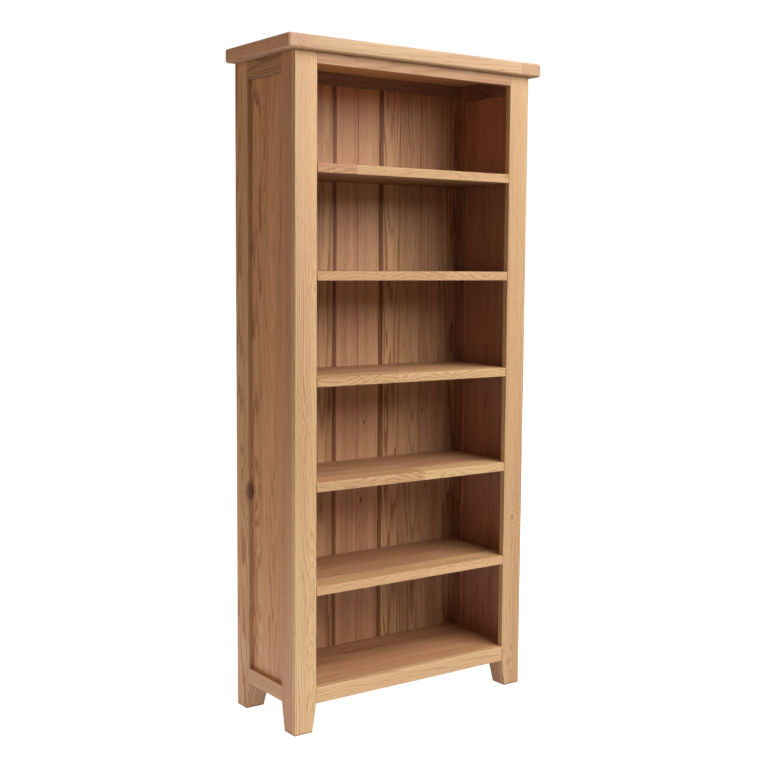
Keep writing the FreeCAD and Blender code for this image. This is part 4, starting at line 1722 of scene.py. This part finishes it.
@dataclass
class LooseShelf:
    """A loose shelf, notched round the front stiles, glued up from butt-jointed staves."""

    number: int
    front_ease: float = 2 * MM
    edge_ease: float = 0.8 * MM
    clearance: float = 1 * MM
    stave_width: float = 72 * MM

    TOPMOST: ClassVar[int] = 5
    EYE_LEVEL: ClassVar[int] = 4
    NOSE_STEPS: ClassVar[int] = 3
    NOSE_SNAP: ClassVar[float] = 0.01 * MM
    # Painted shade: the underside is painted darker than the top, and that of the topmost shelf
    # the most.
    UNDERSIDE_PAINTED_SHADE: ClassVar[float] = 0.64
    TOPMOST_UNDERSIDE_PAINTED_SHADE: ClassVar[float] = 0.52
    # The staves behind the front one, and where they are butt-jointed. Their brightness and warmth
    # are painted shade: darker and rosier than the front stave, as the shelf above shades them,
    # and darker still on the shelf at eye level, where light glances off the tops.
    SHADE_SPAN: ClassVar[tuple[float, float]] = (0.72, 0.79)
    WARMTH_SPAN: ClassVar[tuple[float, float]] = (0.6, 1.0)
    EYE_LEVEL_PAINTED_SHADE: ClassVar[float] = 0.85
    JOINT_SPAN: ClassVar[tuple[float, float]] = (-0.25, 0.25)
    CUTS: ClassVar[tuple[Cut, ...]] = (Cut.FLAT, Cut.FLAT, Cut.RIFT, Cut.QUARTER)
    # The front stave: its joint, its warmth left and right of that, and its brightness from the
    # lowest shelf up. That brightness is painted light and shade: the upper shelves' fronts are
    # painted darker and the lowest one lighter.
    FRONT_JOINT_SPAN: ClassVar[tuple[float, float]] = (-0.15, 0.2)
    FRONT_WARMTHS: ClassVar[tuple[float, float]] = (0.40, 0.1)
    FRONT_PAINTED_SHADES: ClassVar[tuple[float, ...]] = (1.04, 1.0, 1.0, 0.93, 0.96)
    # The topmost shelf's front is joined here. Left of that it has a warmth and brightness of
    # its own, and right of it a dark knot shows along its lower edge.
    TOPMOST_JOINT: ClassVar[float] = -0.210
    TOPMOST_LEFT: ClassVar[tuple[float, float]] = (0.8, 0.85)
    TOPMOST_KNOT: ClassVar[float] = -0.12
    # The grain bends about here along the front.
    BENDS: ClassVar[tuple[float, ...]] = (-0.24, 0.02, 0.25)

    def build(self) -> list[Object]:
        """Build the shelf.

        Returns:
            The shelf in a list.
        """
        node = f"shelf_{self.number}"
        low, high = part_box(node)
        nose_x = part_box("face_bottom_rail")[1].x - self.clearance
        notch_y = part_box("face_bottom_rail")[1].y + self.clearance
        outline = [(-nose_x, low.y), (nose_x, low.y), (nose_x, notch_y), (high.x, notch_y),
                   (high.x, high.y), (low.x, high.y), (low.x, notch_y), (-nose_x, notch_y)]
        lay, timbers = self._staves(low, high)
        front = low.y

        def nose(edge: Edge) -> bool:
            """Whether an edge lies along the front."""
            return all(abs(vert.co.y - front) < self.NOSE_SNAP for vert in edge.verts)

        level = self.TOPMOST_UNDERSIDE_PAINTED_SHADE if self.number == self.TOPMOST else self.UNDERSIDE_PAINTED_SHADE
        shelf = Board(node, Grain.X, SHELF_OAK, body=f"loose_shelf_{self.number}",
                      timbers=timbers, outline=outline, sweep=Grain.Z.value, lay=lay,
                      knots=self._bends(low), dim=PaintedShade((0, 0, -1), level),
                      tools=[Rounding(self.front_ease, self.NOSE_STEPS, nose)],
                      ease=self.edge_ease)
        return [shelf.make()]

    def _bends(self, low: Vector) -> tuple[Knot, ...]:
        """Bends of the grain along the front edge, and the topmost shelf's dark knot.

        Args:
            low: the shelf's lowest corner.

        Returns:
            The knots.
        """
        draw = random.Random(self.number * 29)
        bends = [Knot(place + draw.uniform(-0.04, 0.04), low.y - draw.uniform(0.0, 0.01),
                      draw.uniform(30, 60) * MM, 22 * MM, 0) for place in self.BENDS]
        if self.number == self.TOPMOST:
            bends[1] = Knot(self.TOPMOST_KNOT, low.y + 9 * MM, 48 * MM, 5 * MM)
        return tuple(bends)

    def _staves(self, low: Vector, high: Vector) -> tuple[Lay, tuple[Timber, ...]]:
        """Lay out the staves and pick their wood.

        Args:
            low: the shelf's lowest corner.
            high: its highest corner.

        Returns:
            The lay and one timber for each stave.
        """
        draw = random.Random(self.number * 17)
        seams = glue_lines(low.y, high.y, self.stave_width)
        topmost = self.number == self.TOPMOST
        joints = [(self.TOPMOST_JOINT if topmost else draw.uniform(*self.FRONT_JOINT_SPAN),)]
        for _ in seams:
            joints.append((draw.uniform(*self.JOINT_SPAN),))
        share = self.EYE_LEVEL_PAINTED_SHADE if self.number == self.EYE_LEVEL else 1.0
        timbers = []
        for row in range(len(seams) + 1):
            for part in range(2):
                cut = draw.choice(self.CUTS)
                warmth = draw.uniform(*self.WARMTH_SPAN)
                shade = draw.uniform(*self.SHADE_SPAN) * share
                if row == 0:
                    cut = Cut.FLAT
                    warmth = self.FRONT_WARMTHS[part]
                    shade = self.FRONT_PAINTED_SHADES[self.number - 1]
                    if topmost and part == 0:
                        warmth, shade = self.TOPMOST_LEFT
                timbers.append(Timber(cut, shade, warmth, 0.03, row, 0.75))
        return Lay(seams, tuple(joints)), tuple(timbers)


@dataclass
class ShelfPins:
    """Four turned pins under a loose shelf, each with a flat on its free half."""

    number: int
    radius: float = 3 * MM
    flat: float = 1 * MM
    hidden_length: float = 11.5 * MM
    reach: float = 10 * MM
    chamfer: float = 0.5 * MM
    segments: int = 28

    NO_LENGTH: ClassVar[float] = 1e-9

    def build(self) -> list[Object]:
        """Turn the four pins.

        Returns:
            The piece in a list.
        """
        node = f"shelf_pins_{self.number}"
        low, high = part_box(node)
        bar = bmesh.new()
        z = low.z + self.radius
        for side in Side:
            hidden = high.x * side.value
            face = hidden - side.value * self.hidden_length
            free = face - side.value * self.reach
            for y in (low.y + self.radius, high.y - self.radius):
                self._pin(bar, side, (hidden, face, free), y, z)
        mesh = bpy.data.meshes.new(f"{node}_turned")
        bmesh.ops.recalc_face_normals(bar, faces=list(bar.faces))
        bar.to_mesh(mesh)
        bar.free()
        mesh.materials.append(RACK.take(PIN_STEEL))
        piece = placed(f"{node}_turned", mesh)
        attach(piece, ROOT_BODY)
        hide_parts(node)
        LOG.info("%s: four pins, ride on %s", piece.name, ROOT_BODY)
        return [piece]

    def _pin(self, bar: Blank, side: Side, places: Triple, y: float, z: float) -> None:
        """Loft one pin through its rings.

        Args:
            bar: the mesh that takes it.
            side: left or right.
            places: the hidden end, the side's face and the free end.
            y: the pin's place from front to back.
            z: its height.
        """
        hidden, face, free = places
        step = side.value * self.chamfer
        whole = self.radius
        tip = self.radius - self.chamfer
        stations = [(hidden, tip, False), (hidden - step, whole, False), (face, whole, False),
                    (face, whole, True), (free + step, whole, True), (free, tip, True)]
        rings = []
        for x, radius, flattened in stations:
            ring = []
            for index in range(self.segments):
                turn = math.tau * (index + 0.5) / self.segments
                height = radius * math.sin(turn)
                if flattened:
                    height = min(height, self.radius - self.flat)
                ring.append(bar.verts.new((x, y + radius * math.cos(turn), z + height)))
            rings.append(ring)
        bar.faces.new(rings[0])
        bar.faces.new(rings[-1][::-1])
        for first, second in zip(rings, rings[1:]):
            for index in range(self.segments):
                after = (index + 1) % self.segments
                near, far = first[index], second[index]
                next_near, next_far = first[after], second[after]
                longer = max((near.co - far.co).length, (next_far.co - next_near.co).length)
                if longer > self.NO_LENGTH:
                    bar.faces.new((near, far, next_far, next_near))


@dataclass
class Fixings:
    """Dowels and screws: CAD shapes kept, since they are right, under real finishes."""

    finishes: dict[str, SteelFinish | BeechFinish] = field(default_factory=lambda: {
        "face_dowels": DOWEL_BEECH, "top_dowels": DOWEL_BEECH, "top_screws": SCREW_STEEL,
        "back_screws": SCREW_STEEL, "batten_screws": SCREW_STEEL})

    def build(self) -> list[Object]:
        """Dress the dowels and screws.

        Returns:
            The CAD nodes.
        """
        made = []
        for node, finish in self.finishes.items():
            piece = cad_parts[node]
            piece.data.materials.clear()
            piece.data.materials.append(RACK.take(finish))
            LOG.info("%s: CAD shape kept, %s", node, finish.slot)
            made.append(piece)
        return made


# ---------------------------------------------------------------------------- studio


@dataclass
class FarLamp:
    """A soft lamp so far off that its light is even."""

    name: str
    azimuth: float
    elevation: float
    strength: float
    spread: float
    colour: str = "#FFFFFF"

    DISTANCE: ClassVar[float] = 4.0

    def hang(self) -> Object:
        """Put up the lamp.

        Returns:
            The lamp. Azimuth 0 stands in front and 90 on the right.
        """
        data = bpy.data.lights.new(self.name, "SUN")
        data.energy = self.strength
        data.angle = math.radians(self.spread)
        data.color = linear(self.colour)[:3]
        lamp = placed(self.name, data)
        turn = math.radians(self.azimuth)
        rise = math.radians(self.elevation)
        toward = Vector((math.sin(turn) * math.cos(rise), -math.cos(turn) * math.cos(rise),
                         math.sin(rise)))
        lamp.rotation_mode = "QUATERNION"
        lamp.rotation_quaternion = toward.to_track_quat("Z", "Y")
        lamp.location = toward * self.DISTANCE
        return lamp


@dataclass
class SoftBox:
    """A square soft box near the bookcase, aimed at a point on it."""

    name: str
    place: Triple
    aim: Triple
    watts: float
    width: float
    colour: str = "#FFFFFF"

    def hang(self) -> Object:
        """Put up the soft box.

        Returns:
            The lamp.
        """
        data = bpy.data.lights.new(self.name, "AREA")
        data.shape = "SQUARE"
        data.size = self.width
        data.energy = self.watts
        data.color = linear(self.colour)[:3]
        lamp = placed(self.name, data)
        back = Vector(self.place) - Vector(self.aim)
        lamp.rotation_mode = "QUATERNION"
        lamp.rotation_quaternion = back.to_track_quat("Z", "Y")
        lamp.location = self.place
        lamp.visible_camera = False
        return lamp


@dataclass
class Studio:
    """Plain pale floor, soft light and the camera. Its angles are in radians."""

    camera_place: Triple = (-2.15418, -3.02076, 1.29686)
    camera_turn: float = 0.61825
    camera_tilt: float = -0.094339
    camera_roll: float = 0.006848
    lens: float = 58.66
    sensor_width: float = 36.0
    near_clip: float = 0.05
    far_clip: float = 200.0
    floor_radius: float = 40.0
    floor_sides: int = 96
    floor_drop: float = 0.2 * MM
    sky_seen: str = "#FFFFFF"
    sky_light: str = "#F0F2FF"
    sky_strength: float = 0.07

    LAMPS: ClassVar[tuple[SoftBox | FarLamp, ...]] = (
        SoftBox("key_soft_box", (1.3, -3.1, 3.6), (0, 0, 1.1), 214, 3.6, "#FFFDFD"),
        FarLamp("overhead_fill", 0, 80, 0.4, 70),
        FarLamp("left_fill", -108, 5, 0.92, 60, "#FFCBA8"),
        FarLamp("rear_fill", 150, 30, 0.8, 80, "#FFF4EA"))

    def build(self) -> list[Object]:
        """Set up the floor, lamps, sky and camera.

        Returns:
            The floor, lamps and camera.
        """
        scene = bpy.context.scene
        scene.view_settings.view_transform = "Standard"
        scene.view_settings.look = "None"
        self._sky(scene)
        made = [self._floor(), self._camera(scene)]
        made += [lamp.hang() for lamp in self.LAMPS]
        LOG.info("studio: floor, camera and %d lamps", len(self.LAMPS))
        return made

    def _sky(self, scene: bpy.types.Scene) -> None:
        """Surround the set with white, and light it with a dim, slightly cool fill.

        Args:
            scene: the scene that gets the sky.
        """
        world = bpy.data.worlds.new("studio_surround")
        scene.world = world
        world.use_nodes = True
        tree = world.node_tree
        tree.nodes.clear()
        seen = add_node(tree, BACKGROUND, {"Color": linear(self.sky_seen)})
        fill = add_node(tree, BACKGROUND, {"Color": linear(self.sky_light),
                                           "Strength": self.sky_strength})
        ray = add_node(tree, LIGHT_PATH)
        both = add_node(tree, MIX_SHADER,
                        links={0: ray.outputs["Is Camera Ray"], 1: fill.outputs[0],
                               2: seen.outputs[0]})
        add_node(tree, "ShaderNodeOutputWorld", links={0: both.outputs[0]})

    def _floor(self) -> Object:
        """Lay the floor.

        Returns:
            The floor.
        """
        sheet = bmesh.new()
        bmesh.ops.create_circle(sheet, cap_ends=True, radius=self.floor_radius,
                                segments=self.floor_sides)
        mesh = bpy.data.meshes.new("studio_floor")
        sheet.to_mesh(mesh)
        sheet.free()
        mesh.materials.append(FloorFinish().material())
        floor = placed("studio_floor", mesh)
        floor.location.z = -self.floor_drop
        return floor

    def _camera(self, scene: bpy.types.Scene) -> Object:
        """Stand the camera at the front left, at chest height.

        Args:
            scene: the scene that looks through it.

        Returns:
            The camera.
        """
        data = bpy.data.cameras.new("camera")
        data.sensor_width = self.sensor_width
        data.lens = self.lens
        data.clip_start = self.near_clip
        data.clip_end = self.far_clip
        camera = placed("camera", data)
        level = Vector((math.cos(self.camera_turn), -math.sin(self.camera_turn), 0))
        ahead = Vector((math.sin(self.camera_turn) * math.cos(self.camera_tilt),
                        math.cos(self.camera_turn) * math.cos(self.camera_tilt),
                        math.sin(self.camera_tilt)))
        upward = level.cross(ahead)
        right = level * math.cos(self.camera_roll) + upward * math.sin(self.camera_roll)
        up = upward * math.cos(self.camera_roll) - level * math.sin(self.camera_roll)
        turn = Matrix((right, up, -ahead)).transposed().to_4x4()
        camera.matrix_world = Matrix.Translation(self.camera_place) @ turn
        scene.camera = camera
        return camera


def main() -> None:
    """Build the bookcase and its studio."""
    logging.basicConfig(level=logging.INFO, format="%(name)s: %(message)s")
    assemblies = [Studio(), Top(), FaceFrame(), SideFrame(Side.LEFT), SideFrame(Side.RIGHT),
                  Back(), FixedShelf()]
    assemblies += [LooseShelf(number) for number in SHELVES]
    assemblies += [ShelfPins(number) for number in SHELVES]
    assemblies.append(Fixings())
    for assembly in assemblies:
        made = assembly.build()
        LOG.info("%s: %d pieces", type(assembly).__name__, len(made))


if __name__ == "__main__":
    main()
